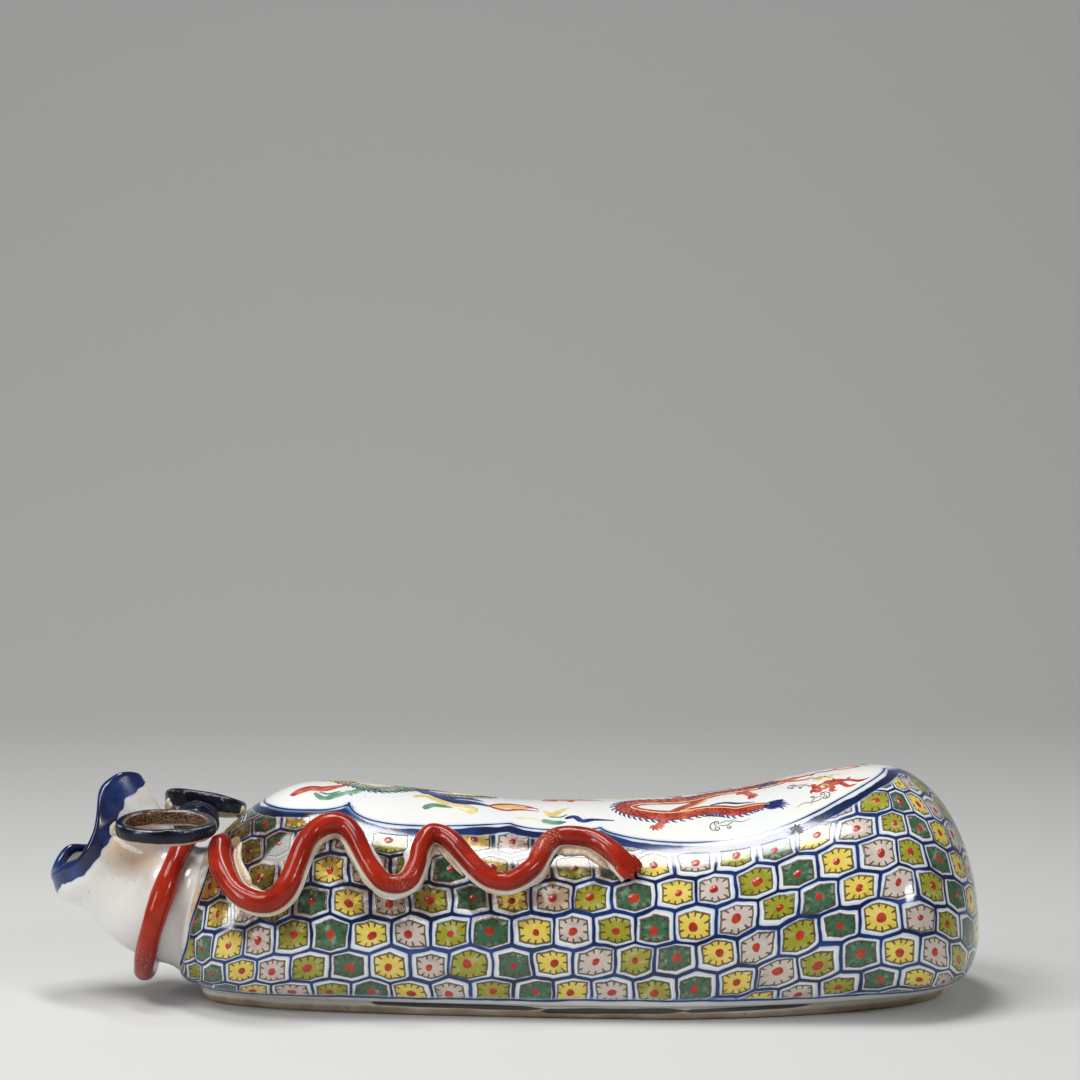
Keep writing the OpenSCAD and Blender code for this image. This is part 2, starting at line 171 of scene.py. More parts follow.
def grain(place, scale, detail=2.0, rough=0.5, coloured=False):
    """Soft noise, as a value or as a colour."""
    node = node_with([place], "ShaderNodeTexNoise")
    for label, value in (("Scale", scale), ("Detail", detail), ("Roughness", rough)):
        node.inputs[label].default_value = value
    return Value(node.outputs[1 if coloured else 0])


def split(vector):
    """The three parts of a place or of a colour."""
    return [Value(part) for part in node_with([vector], "ShaderNodeSeparateXYZ").outputs]


def new_material(name):
    """A material, the place on the object in metres, and the material's shader."""
    material = bpy.data.materials.new(name)
    material.use_nodes = True
    nodes = material.node_tree.nodes
    return material, Value(nodes.new("ShaderNodeTexCoord").outputs["Object"]), nodes["Principled BSDF"]


def dress(shader, colour, roughness, height, depth):
    """Gives the shader its colour, its roughness, and a height as a share of a depth in millimetres."""
    bump = shader.id_data.nodes.new("ShaderNodeBump")
    bump.inputs["Distance"].default_value = depth * MM
    put(bump.inputs["Height"], height)
    for label, value in (("Base Color", colour), ("Roughness", roughness), ("Normal", bump.outputs[0])):
        put(shader.inputs[label], value)


def ring_faces(rows, count):
    """Faces between closed rows of points, one row after the other."""
    steps = [(r * count, (r + 1) * count) for r in range(rows - 1)]
    return [[low + k, high + k, high + (k + 1) % count, low + (k + 1) % count]
            for low, high in steps for k in range(count)]


foot_low, foot_high = corners("base_slab")
foot_l = foot_high[0] - foot_low[0]
foot_w = foot_high[1] - foot_low[1]
foot_t = foot_high[2]
x_end = corners("front_wall")[1][0]
wide_from_end = 140
wide_x = x_end - wide_from_end
foot_n = {"neck": (1.2, 0.36), "end": (2.0, 0.6)}


def foot_at(x, inset):
    """Half width of the foot at a place along it."""
    neck_side = x < wide_x
    share = np.abs(x - wide_x) / (foot_l / 2 - inset + np.where(neck_side, wide_x, -wide_x))
    a = np.where(neck_side, foot_n["neck"][0], foot_n["end"][0])
    b = np.where(neck_side, foot_n["neck"][1], foot_n["end"][1])
    return (foot_w / 2 - inset) * np.maximum(0, 1 - share ** a) ** b


# Each dark stroke on the upper edge: where it starts and ends, in x and z, and half its height.
hem_strokes = ((-88, 5.3, -8, 4.4, 1.2), (-16, 3.5, 52, 4.5, 1.3), (44, 4.1, 104, 5.3, 0.95))
stroke_swell, stroke_thin = 5.0, 14.0
buff, pale_buff, iron_speck = (0.27, 0.195, 0.12, 1), (0.44, 0.36, 0.26, 1), (0.07, 0.045, 0.03, 1)
thin_glaze, hem_ink = (0.64, 0.61, 0.54, 1), (0.010, 0.012, 0.022, 1)
buff_clay, place, shader = new_material("buff_clay")
body = grain(place, 38, 5, 0.6)
specks = grain(place, 900)
place_x, _, place_z = split(place)
x_here, z_here = place_x * (1 / MM), place_z * (1 / MM)
colour = mix(fade(body, 0.32, 0.68), buff, pale_buff)
colour = mix(fade(specks, 0.66, 0.72), colour, iron_speck)
glaze_run = fade(z_here + body * 3.0, 4.2, 5.8)
colour = mix(glaze_run, colour, thin_glaze)
for x_from, z_from, x_to, z_to, half in hem_strokes:
    climb = (z_to - z_from) / (x_to - x_from)
    stroke_z = x_here * climb + (z_from - climb * x_from)
    within = fade(x_here, x_from, x_from + stroke_swell) - fade(x_here, x_to - stroke_thin, x_to)
    thick = within * (body * half + half / 2)
    colour = mix(fade(thick - abs(z_here - stroke_z), 0.0, 0.3) * 0.94, colour, hem_ink)
dress(shader, colour, 0.92 - glaze_run * 0.6, body + specks * 0.4, 0.5)

# Inset and height of each row of points down the slab's edge.
foot_edge = ((16, foot_t), (0, foot_t), (0, 4.6), (0.35, 3.0), (1.1, 1.5), (2.4, 0.45), (4.0, 0), (16, 0))
turn = np.linspace(0, 2 * np.pi, 240, endpoint=False)
foot_rings = []
for inset, z in foot_edge:
    ring_x = -np.cos(turn) * (foot_l / 2 - inset)
    wander = 0.25 * np.sin(7 * turn) + 0.2 * np.sin(17 * turn + 1) if z < foot_t else 0
    ring_y = np.sign(np.sin(turn)) * np.maximum(0, foot_at(ring_x, inset) + wander * np.abs(np.sin(turn)))
    foot_rings.append(np.stack([ring_x, -ring_y, np.full_like(turn, z)], -1))
count = len(turn)
foot_faces = ring_faces(len(foot_rings), count)
foot_faces.append(list(range(count)))
foot_faces.append([(len(foot_rings) - 1) * count + k for k in reversed(range(count))])
fix_on(mesh_piece("foot_slab", np.concatenate(foot_rings), foot_faces, buff_clay), "base_slab")

# The bag: two pressed walls and the curved panel let in between them, one smooth skin once it is glazed.
# White clay under a clear glaze, painted with a turtle-back of hexagons: cobalt lines under the glaze,
# enamel fields, brown strokes and raised red dots over it, and a cusped cobalt border round the panel.
wall_t = 6
body_l, shoulder_l, end_l = 340, 54, 44
belly_w, shoulder_w, belly_z = 134, 116, 30
saddle_z, shoulder_crest_z, saddle_rise, crest_run = 85, 93.5, 1.7, 0.11
neck_z, neck_h, neck_w, neck_tilt = 39.5, 52, 56, np.radians(13)
panel_fullness, seam_turn, inset_turn = 3, np.radians(72), np.radians(78)
quarter = np.pi / 2
panel_low, panel_high = corners("headrest_panel")
end_crest_z = panel_high[2]
panel_w = 2 * panel_high[1]
neck_x = x_end - body_l
side_from = neck_x + shoulder_l
side_to = x_end - end_l
saddle_from_end = 186
saddle_x = x_end - saddle_from_end


def ramp(a, b, t):
    """A soft step from a to b."""
    return a + (b - a) * (1 - np.cos(np.pi * np.clip(t, 0, 1))) / 2


def side_line(x, t):
    """Section lines along the sides of the bag, t under the surface."""
    from_shoulder = ramp(shoulder_crest_z, saddle_z, (x - side_from) / (saddle_x - side_from))
    up_share = np.maximum(0, x - saddle_x) / (side_to - saddle_x)
    crest = np.where(x < saddle_x, from_shoulder, ramp(saddle_z, end_crest_z, up_share ** saddle_rise))
    belly = ramp(shoulder_w, belly_w, (x - side_from) / (side_to - side_from)) / 2
    one = np.ones_like(x)
    return np.stack([x, x, belly - t, x, foot_at(x, t), foot_t * one, belly_z * one, crest - t, 0 * one], -1)


def end_line(a, t):
    """Section lines around half of the round end."""
    spine_x = side_to + (panel_high[0] - side_to) * crest_run * (1 - a / quarter)
    foot_x = side_to + (foot_l / 2 - side_to - t) * np.cos(a)
    foot_y = foot_at(foot_x, t) * (a > 1e-6)
    one = np.ones_like(a)
    return np.stack([spine_x, side_to + (end_l - t) * np.cos(a), (belly_w / 2 - t) * np.sin(a),
                     foot_x, foot_y, foot_t * one, belly_z * one, (end_crest_z - t) * one, one], -1)


def shoulder_line(b, t):
    """Section lines around half of the shoulder, from the neck joint to the shoulder crest."""
    s, c = np.sin(b), np.cos(b)
    half_h, half_w = neck_h / 2 - t, neck_w / 2 - t
    dx, dz = half_h * np.sin(neck_tilt), half_h * np.cos(neck_tilt)
    inset = t * (1 - np.maximum(0, (b - inset_turn) / (quarter - inset_turn)) ** 2)
    tip_x = t - foot_l / 2
    under = quarter * (quarter - b) / (quarter - seam_turn)
    foot_x = side_from - (side_from - tip_x) * np.sin(quarter * np.minimum(1, b / seam_turn))
    low = b > seam_turn - 1e-9
    neck_top, neck_low = neck_z + dz, neck_z - dz
    return np.stack([side_from - (side_from - neck_x - dx - inset) * s,
                     side_from - (side_from - neck_x - inset) * s,
                     half_w + (shoulder_w / 2 - t - half_w) * c,
                     np.where(low, tip_x - (tip_x - neck_x + dx) * np.cos(under), foot_x),
                     np.where(low, 0, foot_at(foot_x, t)),
                     np.where(low, neck_low - (neck_low - foot_t) * np.sin(under), foot_t),
                     belly_z + (neck_z - belly_z) * (1 - c),
                     neck_top + (shoulder_crest_z - t - neck_top) * np.sin(quarter * (1 - s)), 0 * b], -1)


def skin(line, f):
    """Places on section lines: f is -90 degrees at the foot, 0 at the belly and 90 at the crest."""
    spine_x, belly_x, belly_y, foot_x, foot_y, low_z, mid_z, top_z, dome = [q[:, None] for q in line.T]
    c, s = np.maximum(0, np.cos(f)), np.sin(f)
    low_x = np.where(dome > 0, foot_x + (belly_x - foot_x) * c, belly_x - (foot_x - belly_x) * s)
    high_x = np.where(dome > 0, spine_x + (belly_x - spine_x) * c, belly_x + (spine_x - belly_x) * s)
    y = np.where(f < 0, foot_y + (belly_y - foot_y) * c, belly_y * c)
    z = np.where(f < 0, mid_z + (mid_z - low_z) * s, mid_z + (top_z - mid_z) * s)
    return np.stack([np.where(f < 0, low_x, high_x), y, z], -1)


tip_reach = side_from - neck_x - neck_h / 2 * np.sin(neck_tilt)
tip_turn = np.arcsin((side_from - panel_low[0]) / tip_reach)
shoulder_turns = np.concatenate([np.linspace(quarter, seam_turn, 12)[:-1],
                                 np.linspace(seam_turn, tip_turn, 26)[:-1],
                                 tip_turn * (1 - np.linspace(0, 1, 30) ** 2)[:-1]])
side_places = np.linspace(side_from, side_to, 130)
end_turns = np.linspace(quarter, 0, 60)[1:]
tip_index = int(np.argmin(np.abs(shoulder_turns - tip_turn)))


def bag_lines(t):
    """All section lines from the neck joint to the middle of the round end."""
    return np.concatenate([shoulder_line(shoulder_turns, t), side_line(side_places, t),
                           end_line(end_turns, t)])


lines = {"out": bag_lines(0), "in": bag_lines(wall_t)}
line_count = len(lines["out"])
panel_c, panel_r = (panel_low[0] + panel_high[0]) / 2, (panel_high[0] - panel_low[0]) / 2
low_f, high_f = np.zeros(line_count), np.full(line_count, quarter)
for _ in range(30):
    middle = (low_f + high_f) / 2
    spot = skin(lines["out"], middle[:, None])[:, 0]
    reach = (np.abs(spot[:, 0] - panel_c) / panel_r) ** panel_fullness
    reach = reach + (spot[:, 1] / (panel_w / 2)) ** panel_fullness
    low_f, high_f = np.where(reach > 1, middle, low_f), np.where(reach > 1, high_f, middle)
panel_edge = np.where(np.arange(line_count) <= tip_index, quarter, (low_f + high_f) / 2)

# Columns of hexagons are counted along the belly, and rows from a line that swings up to the round end.
cell_w, cell_h = 17.1, 13.8
first_cell, neck_squeeze = -86.5, 0.035
row_rise, row_slope, level_x, row_drop, drop_x = 8.5, 0.025, -60, 0.0045, -110
swing_x, swing_rise, swing_up, swing_down = 135, 17, 57, 40


def lengths_along(points, axis):
    """The length of the way along rows of points, from 0 at the first."""
    steps = np.linalg.norm(np.diff(points, axis=axis), axis=-1)
    return np.concatenate([0 * steps.take([0], axis), np.cumsum(steps, axis)], axis)


belly_line = skin(lines["out"], np.zeros((line_count, 1)))[:, 0]
along = lengths_along(belly_line, 0)
along -= np.interp(0, belly_line[:, 0], along)
columns = (along - first_cell) / cell_w
columns = columns - np.where(columns < 0, neck_squeeze * columns ** 2, 0)
row_line = row_rise + row_slope * (along - level_x) - row_drop * np.minimum(0, along - drop_x) ** 2
swing_run = np.where(along < swing_x, swing_up, swing_down)
row_line += swing_rise * np.exp(-((along - swing_x) / swing_run) ** 2)
belly_step = 180
fine_f = np.radians(np.linspace(-90, 90, 2 * belly_step + 1))
climb = lengths_along(skin(lines["out"], np.tile(fine_f, (line_count, 1))), 1)
climb -= climb[:, belly_step:belly_step + 1]


def cell_places(index, f, rear):
    """Columns and rows of the hexagons at places on the bag, counted on round the end to the rear wall."""
    rows = np.stack([(np.interp(f[k], fine_f, climb[i]) - row_line[i]) / cell_h for k, i in enumerate(index)])
    column = np.repeat(columns[index][:, None], f.shape[1], 1)
    column = np.where(rear, 2 * columns[-1] - column, column)
    return np.stack([column, rows], -1)


def face_corners(ids):
    """The four corners of each face of a grid of points."""
    return ids[:-1, :-1], ids[1:, :-1], ids[1:, 1:], ids[:-1, 1:]


def shell(outer, inner, wrap=False):
    """Points and faces of a wall between two grids of points, closed around its edges."""
    n, m = outer.shape[:2]
    ids = np.arange(n * m).reshape(n, m)
    if wrap:
        ids = np.concatenate([ids, ids[:, :1]], 1)
    top = np.stack(face_corners(ids), -1).reshape(-1, 4)
    rims = [(ids[0, :-1], ids[0, 1:]), (ids[-1, 1:], ids[-1, :-1])]
    if not wrap:
        rims += [(ids[1:, 0], ids[:-1, 0]), (ids[:-1, -1], ids[1:, -1])]
    faces = [top, top[:, ::-1] + n * m] + [np.stack([a, b, b + n * m, a + n * m], -1) for a, b in rims]
    return np.concatenate([outer.reshape(-1, 3), inner.reshape(-1, 3)]), np.concatenate(faces).tolist()


def seam_normals(grids, wrap=False):
    """Normals over several grids that meet edge to edge, so that no seam shows in the glaze."""
    keys = np.concatenate([grid.reshape(-1, 3) for grid in grids]).round(3)
    _, place = np.unique(keys, axis=0, return_inverse=True)
    place = place.reshape(-1)
    total = np.zeros((place.max() + 1, 3))
    start = 0
    for grid in grids:
        n, m = grid.shape[:2]
        ids = np.arange(start, start + n * m).reshape(n, m)
        if wrap:
            ids, grid = np.concatenate([ids, ids[:, :1]], 1), np.concatenate([grid, grid[:, :1]], 1)
        face = np.cross(grid[1:, 1:] - grid[:-1, :-1], grid[:-1, 1:] - grid[1:, :-1]).reshape(-1, 3)
        for corner in face_corners(ids):
            np.add.at(total, place[corner.reshape(-1)], face)
        start += n * m
    total /= np.maximum(1e-9, np.linalg.norm(total, axis=1))[:, None]
    ends = np.cumsum([grid.shape[0] * grid.shape[1] for grid in grids])[:-1]
    return np.split(total[place], ends)


wall_m, panel_m = 84, 40
every = np.arange(line_count)
on_panel = np.arange(tip_index, line_count)
wall_f = -quarter + (panel_edge[:, None] + quarter) * np.linspace(0, 1, wall_m + 1)
edge_f = panel_edge[on_panel][:, None]
half_f = edge_f + (quarter - edge_f) * np.linspace(0, 1, panel_m + 1)
panel_f = np.concatenate([half_f, half_f[:, -2::-1]], 1)
panel_rear = np.arange(2 * panel_m + 1) > panel_m
front_way, rear_way = np.array([1, -1, 1]), np.array([1, 1, 1])
grids = {}
for depth in ("out", "in"):
    wall = skin(lines[depth], wall_f)
    top = skin(lines[depth][on_panel], panel_f) * np.where(panel_rear[:, None], rear_way, front_way)
    grids[depth] = {"front": wall * front_way, "rear": (wall * rear_way)[:, ::-1], "panel": top}
cells = {"front": cell_places(every, wall_f, False), "rear": cell_places(every, wall_f, True)[:, ::-1],
         "panel": cell_places(on_panel, panel_f, panel_rear)}
parts = ("front", "rear", "panel")
bag_normals = dict(zip(parts, seam_normals([grids["out"][part] for part in parts])))

bag_points, bag_faces = [], []
for part in parts:
    n, m = grids["out"][part].shape[:2]
    ids = np.arange(n * m).reshape(n, m) + len(bag_points)
    bag_faces += np.stack(face_corners(ids), -1).reshape(-1, 4).tolist()
    bag_points += grids["out"][part].reshape(-1, 3).tolist()
bag_tree = BVHTree.FromPolygons(bag_points, bag_faces)
above = 200


def on_bag(x, y):
    """The place on top of the bag over a place in plan."""
    return np.array(bag_tree.ray_cast(Vector((x, y, above)), Vector((0, 0, -1)))[0])


def scallop(start, end, bulge, lean, full):
    """One lobe of the border of the panel between two cusps, in plan."""
    t = (1 - np.cos(np.linspace(0, np.pi, 400)[:-1])) / 2
    x = start[0] + (end[0] - start[0]) * t
    y = start[1] + (end[1] - start[1]) * t + bulge * np.abs(np.sin(np.pi * t ** lean)) ** full
    return np.stack([x, y], -1)


def half_border(inwards):
    """The border from the neck to the round end, moved inwards."""
    cusps = [(panel_low[0] + inwards, 0), (-96, 26 - inwards), (-27, 30 - inwards), (11, 33.4 - inwards),
             (137 - inwards, 8.5 - inwards), (panel_high[0] - inwards, 0)]
    shapes = [(18, 0.6, 0.7), (9.5, 0.5, 0.9), (2.6, 0.8, 0.6), (26, 1.5, 0.46), (0.6, 1, 0.6)]
    lobes = [scallop(a, b, *shape) for a, b, shape in zip(cusps, cusps[1:], shapes)]
    return np.concatenate(lobes + [[cusps[-1]]])


def distance_from(line, points):
    """Distances of places on the bag from the nearest place of a line."""
    tree = KDTree(len(line))
    for k, spot in enumerate(line):
        tree.insert(spot, k)
    tree.balance()
    return np.array([tree.find(spot)[2] for spot in points])


def border_distance(points, inwards):
    """Distance of places on the bag from a line of the border, less than 0 inside it."""
    outline = half_border(inwards)
    near = distance_from([on_bag(x, side * y) for side in (-1, 1) for x, y in outline], points)
    inside = np.abs(points[:, 1]) < np.interp(points[:, 0], outline[:, 0], outline[:, 1], left=-1, right=-1)
    return np.where(inside, -near, near)


# Routes of the tails on the walls: shares of the reach from the neck joint and of the height to the crest.
tail_d, tail_start_d, route_steps = 7.8, 10.2, 6
front_reach, rear_reach = 193, 160
front_path = [(0.08, 0.84), (0.075, 0.74), (0.085, 0.61), (0.105, 0.48), (0.13, 0.39), (0.16, 0.34),
              (0.19, 0.33), (0.215, 0.37), (0.235, 0.45), (0.25, 0.56), (0.265, 0.66), (0.285, 0.73),
              (0.315, 0.77), (0.345, 0.77), (0.37, 0.72), (0.4, 0.58), (0.42, 0.505), (0.44, 0.455),
              (0.47, 0.445), (0.495, 0.485), (0.51, 0.58), (0.515, 0.66), (0.53, 0.74), (0.55, 0.765),
              (0.585, 0.725), (0.64, 0.575), (0.67, 0.515), (0.705, 0.5), (0.735, 0.535), (0.765, 0.605),
              (0.78, 0.685), (0.795, 0.75), (0.82, 0.79), (0.86, 0.79), (0.895, 0.77), (0.925, 0.72),
              (0.955, 0.65), (1, 0.51)]
rear_path = [(0.1, 0.62), (0.135, 0.46), (0.19, 0.36), (0.25, 0.4), (0.3, 0.56), (0.36, 0.7), (0.43, 0.74),
             (0.5, 0.63), (0.56, 0.5), (0.63, 0.44), (0.7, 0.52), (0.76, 0.66), (0.82, 0.75), (0.89, 0.74),
             (0.96, 0.66), (1, 0.56)]


def through(points, steps):
    """A smooth row of places through given points."""
    p = np.asarray(points, float)
    p = np.concatenate([p[:1], p, p[-1:]])
    t = np.linspace(0, 1, steps, endpoint=False)[:, None]
    rows = [b + 0.5 * t * (c - a + t * (2 * a - 5 * b + 4 * c - d + t * (3 * b - a - 3 * c + d)))
            for a, b, c, d in zip(p, p[1:], p[2:], p[3:])]
    return np.concatenate(rows + [p[-1:]])


def wall_at(d, height, side):
    """Places on a wall, by distance from the neck joint and share of the height between belly and crest."""
    x = neck_x + d
    turn = np.arcsin(np.clip((side_from - x) / (side_from - neck_x), 0, 1))
    on_side = side_line(np.clip(x, side_from, side_to), 0)
    line = np.where((x < side_from)[:, None], shoulder_line(turn, 0), on_side)
    return skin(line, np.arcsin(np.clip(height, 0, 1))[:, None])[:, 0] * np.array([1, side, 1])


def unit(vectors):
    """Vectors of length one."""
    return vectors / np.maximum(1e-12, np.linalg.norm(vectors, axis=-1, keepdims=True))


def tail_line(path, reach, side):
    """The places under a tail, and the directions out of the wall there."""
    route = through(path, route_steps)
    d, height = route[:, 0] * reach, route[:, 1]
    reach_step, height_step = 1.5, 0.02
    out = side * np.cross(wall_at(d, height + height_step, side) - wall_at(d, height - height_step, side),
                          wall_at(d + reach_step, height, side) - wall_at(d - reach_step, height, side))
    return wall_at(d, height, side), unit(out)


tails = {"front": tail_line(front_path, front_reach, -1), "rear": tail_line(rear_path, rear_reach, 1)}
# The pattern keeps clear of the tails, except for the last steps of their routes.
front_clear, rear_clear = 12, 8
tail_places = np.concatenate([tails["front"][0][:-front_clear], tails["rear"][0][:-rear_clear]])


def new_group(name, takes, gives, kind="Shader"):
    """A group of nodes with named inputs and outputs."""
    group = bpy.data.node_groups.new(name, kind + "NodeTree")
    for way, sockets in (("INPUT", takes), ("OUTPUT", gives)):
        for label, socket_kind in sockets.items():
            group.interface.new_socket(label, in_out=way, socket_type="NodeSocket" + socket_kind)
    entry = group.nodes.new("NodeGroupInput").outputs
    return group, {label: Value(entry[label]) for label in takes}, group.nodes.new("NodeGroupOutput").inputs


def use(group, **values):
    """Places a shader group in the tree that the values come from."""
    tree = next(value.tree for value in values.values() if isinstance(value, Value))
    node = tree.nodes.new("ShaderNodeGroup")
    node.node_tree = group
    for label, value in values.items():
        put(node.inputs[label], value)
    return {socket.name: Value(socket) for socket in node.outputs}


def named_value(shader, label):
    """A value stored on the mesh."""
    node = shader.id_data.nodes.new("ShaderNodeAttribute")
    node.attribute_name = label
    return Value(node.outputs["Fac"])


# Clear glaze over white clay: bluish where it pools, creamy where it is thin, with pinholes and iron specks.
clay_white, glaze_blue, glaze_cream = (0.80, 0.79, 0.75, 1), (0.73, 0.76, 0.76, 1), (0.74, 0.67, 0.52, 1)
pit_brown = (0.16, 0.10, 0.05, 1)
glaze_ground, takes, gives = new_group("glaze_ground", {"Place": "Vector"},
                                       {"Color": "Color", "Roughness": "Float", "Height": "Float"})
pool = grain(takes["Place"], 22, 4, 0.55)
thin = grain(takes["Place"], 9, 5, 0.6)
peel = grain(takes["Place"], 140)
pits = fade(grain(takes["Place"], 620, 1), 0.775, 0.80)
colour = mix(fade(pool, 0.35, 0.7), clay_white, glaze_blue)
colour = mix(fade(thin, 0.54, 0.75) * 0.5, colour, glaze_cream)
put(gives["Color"], mix(pits * 0.7, colour, pit_brown))
put(gives["Roughness"], thin * 0.12 + 0.07)
put(gives["Height"], peel * 0.5 - pits)

# A cobalt brush line at a distance from its middle: dark where the brush rests, watery where it runs dry.
deep_blue, clear_blue, watery_blue = (0.002, 0.006, 0.042, 1), (0.006, 0.030, 0.150, 1), (0.30, 0.43, 0.66, 1)
cobalt_line, takes, gives = new_group(
    "cobalt_line", {"Place": "Vector", "Distance": "Float", "Half": "Float", "Under": "Color"},
    {"Color": "Color"})
tone = grain(takes["Place"], 55, 3, 0.6)
shake = grain(takes["Place"], 75)
away = abs(takes["Distance"]) - takes["Half"] * (shake * 1.4 + 0.3)
halo = (1.0 - fade(away, -0.3, 1.6)) * 0.66
wash = (1.0 - fade(away, -0.22, 0.18)) * (1.06 - fade(tone, 0.5, 0.8) * 0.15)
under = mix(halo, takes["Under"], watery_blue)
put(gives["Color"], mix(wash, under, mix(fade(tone, 0.36, 0.66), deep_blue, clear_blue)))

# Turtle-back hexagons from columns and rows: the nearest cell, its frame, enamel field, strokes and dot.
cell_peak = 1.1
cell_slope = 4 * cell_peak / cell_w
spokes = 10
enamels = ((0.70, 0.54, 0.09, 1), (0.55, 0.46, 0.41, 1), (0.30, 0.29, 0.022, 1), (0.04, 0.118, 0.062, 1))
enamel_pale, enamel_pooled = (0.80, 0.78, 0.62, 1), (0.55, 0.6, 0.5, 1)
stroke_brown = (0.055, 0.036, 0.014, 1)
dot_red, dot_orange = (0.34, 0.016, 0.008, 1), (0.48, 0.045, 0.016, 1)
turtle_back, takes, gives = new_group("turtle_back", {"Cell": "Vector", "Place": "Vector", "Under": "Color"},
                                      {"Color": "Color", "Height": "Float"})
place = takes["Place"]


def vector_sum(operation, *vectors):
    """One step of a sum on places or directions."""
    return Value(node_with(vectors, "ShaderNodeVectorMath", operation=operation).outputs["Vector"])


def waver(place, scale, size):
    """A small shift in two directions, different from place to place."""
    return vector_sum("MULTIPLY_ADD", grain(place, scale, 1, coloured=True), (size, size, 0),
                      (-size / 2, -size / 2, 0))


def edge_room(x, y):
    """The distance inwards from the upright and from the sloping sides of a hexagon."""
    from_middle = abs(x)
    roof = from_middle * -cell_slope + (cell_h / 2 + cell_peak) - abs(y)
    return cell_w / 2 - from_middle, roof * (1 / float(np.hypot(1, cell_slope)))


def nudged(value, luck, size):
    """A value moved by a chance amount."""
    return value + (luck * size - size / 2)


def length_of(x, y):
    """The length of an offset."""
    return calc("SQRT", x * x + y * y)


shift = vector_sum("ADD", waver(place, 60, 0.26), waver(place, 200, 0.035))
u, v, _ = split(vector_sum("ADD", takes["Cell"], shift))
even_u, even_v = calc("ROUND", u), calc("ROUND", v * 0.5) * 2.0
odd_u, odd_v = calc("FLOOR", u) + 0.5, calc("FLOOR", v * 0.5) * 2.0 + 1.0
even_x, even_y = (u - even_u) * cell_w, (v - even_v) * cell_h
odd_x, odd_y = (u - odd_u) * cell_w, (v - odd_v) * cell_h
even_room, odd_room = calc("MINIMUM", *edge_room(even_x, even_y)), calc("MINIMUM", *edge_room(odd_x, odd_y))
odd = calc("GREATER_THAN", odd_room, even_room)
dx, dy, cell_u, cell_v = [odd * (b - a) + a for a, b in ((even_x, odd_x), (even_y, odd_y), (even_u, odd_u),
                                                         (even_v, odd_v))]
cell = node_with((cell_u, cell_v), "ShaderNodeCombineXYZ").outputs[0]
luck = split(Value(node_with([Value(cell)], "ShaderNodeTexWhiteNoise").outputs["Color"]))

upright, sloping = edge_room(dx, dy)
frame_half = calc("GREATER_THAN", upright, sloping) * 0.16 + 0.68
frame_away = calc("SMOOTH_MIN", upright, sloping, 1.4)
frame_line = use(cobalt_line, Place=place, Distance=frame_away, Half=frame_half, Under=takes["Under"])
ragged = grain(place, 320)
density = grain(place, 210, 3, 0.6)
inner_x, inner_y = nudged(dx, luck[0], 1.3), nudged(dy, luck[1], 1.2)
lean = luck[2] * 0.14 - 0.07
room = calc("MINIMUM", *edge_room(inner_y * lean + inner_x, inner_x * lean + inner_y))
room = room - nudged(2.2, luck[2], 0.7) + (ragged * 0.8 - 0.4)
number = calc("FLOORED_MODULO", cell_u + cell_v * 0.5, float(len(enamels)))
field = enamels[0]
for k, enamel in enumerate(enamels[1:], 1):
    field = mix(calc("COMPARE", number, float(k), 0.5), field, enamel)
field = mix(fade(density, 0.50, 0.75) * 0.3, field, enamel_pale)
field = mix((1.0 - fade(density + room * 0.03, 0.34, 0.54)) * 0.6, field, enamel_pooled, "MULTIPLY")
filled = fade(room, -0.12, 0.18)
rim = 1.0 - fade(abs(room), 0.30, 0.52)
bearing = calc("ARCTAN2", inner_y, inner_x) + luck[2] * 6.28
spoke = abs(calc("FRACT", bearing * (spokes / (2 * np.pi))) - 0.5)
beside = spoke * length_of(inner_x, inner_y) * (2 * np.pi / spokes)
length = ragged * 1.6 + 1.1
taper = room / length * -0.24 + 0.54
stroke = (1.0 - fade(beside - taper, -0.14, 0.1)) * fade(room, 0.1, 0.35)
stroke = stroke * (1.0 - fade(room - length, -0.25, 0.25))
dot_far = length_of(nudged(inner_x, luck[1], 1.1), nudged(inner_y, luck[2], 1.3)) + (ragged * 1.2 - 0.6)
dot_far = dot_far - nudged(1.75, luck[0], 0.5)
dot = 1.0 - fade(dot_far, -0.16, 0.16)
colour = mix(filled, frame_line["Color"], field)
colour = mix(rim * 0.88, colour, stroke_brown)
colour = mix(stroke * 0.9, colour, stroke_brown)
put(gives["Color"], mix(dot, colour, mix(fade(density, 0.35, 0.7), dot_red, dot_orange)))
put(gives["Height"], filled * 0.35 + (1.0 - fade(dot_far, -1.5, 0.1)))

# Brown and golden kiln stains, strongest around a place where bare clay and slip met the flame. On the neck
# the same darkening is also painted shade under the front loop.
stain_and_shade_brown, stain_and_shade_gold = (0.26, 0.14, 0.07, 1), (0.78, 0.56, 0.30, 1)
kiln_stain_and_shade, takes, gives = new_group(
    "kiln_stain_and_shade", {"Place": "Vector", "Middle": "Vector", "Reach": "Float", "Under": "Color"},
    {"Color": "Color", "Mask": "Float"})


def apart(a, b):
    """The distance between two places."""
    return Value(node_with((a, b), "ShaderNodeVectorMath", operation="DISTANCE").outputs["Value"])


cloudy = grain(takes["Place"], 75, 5, 0.62)
near = 1.0 - apart(takes["Place"], takes["Middle"]) / takes["Reach"]
stain_and_shade_mask = fade(near + (cloudy * 1.3 - 0.75), 0.1, 0.75)
stain_and_shade_tint = mix(fade(cloudy, 0.42, 0.62), stain_and_shade_brown, stain_and_shade_gold)
put(gives["Color"], mix(stain_and_shade_mask * 0.85, takes["Under"], stain_and_shade_tint, "MULTIPLY"))
put(gives["Mask"], stain_and_shade_mask)


def gloss(shader, coat=0.2, coat_roughness=0.035, level=0.5):
    """The hard clear surface of a fired glaze."""
    for label, value in (("Coat Weight", coat), ("Coat Roughness", coat_roughness), ("IOR", 1.5),
                         ("Specular IOR Level", level)):
        shader.inputs[label].default_value = value


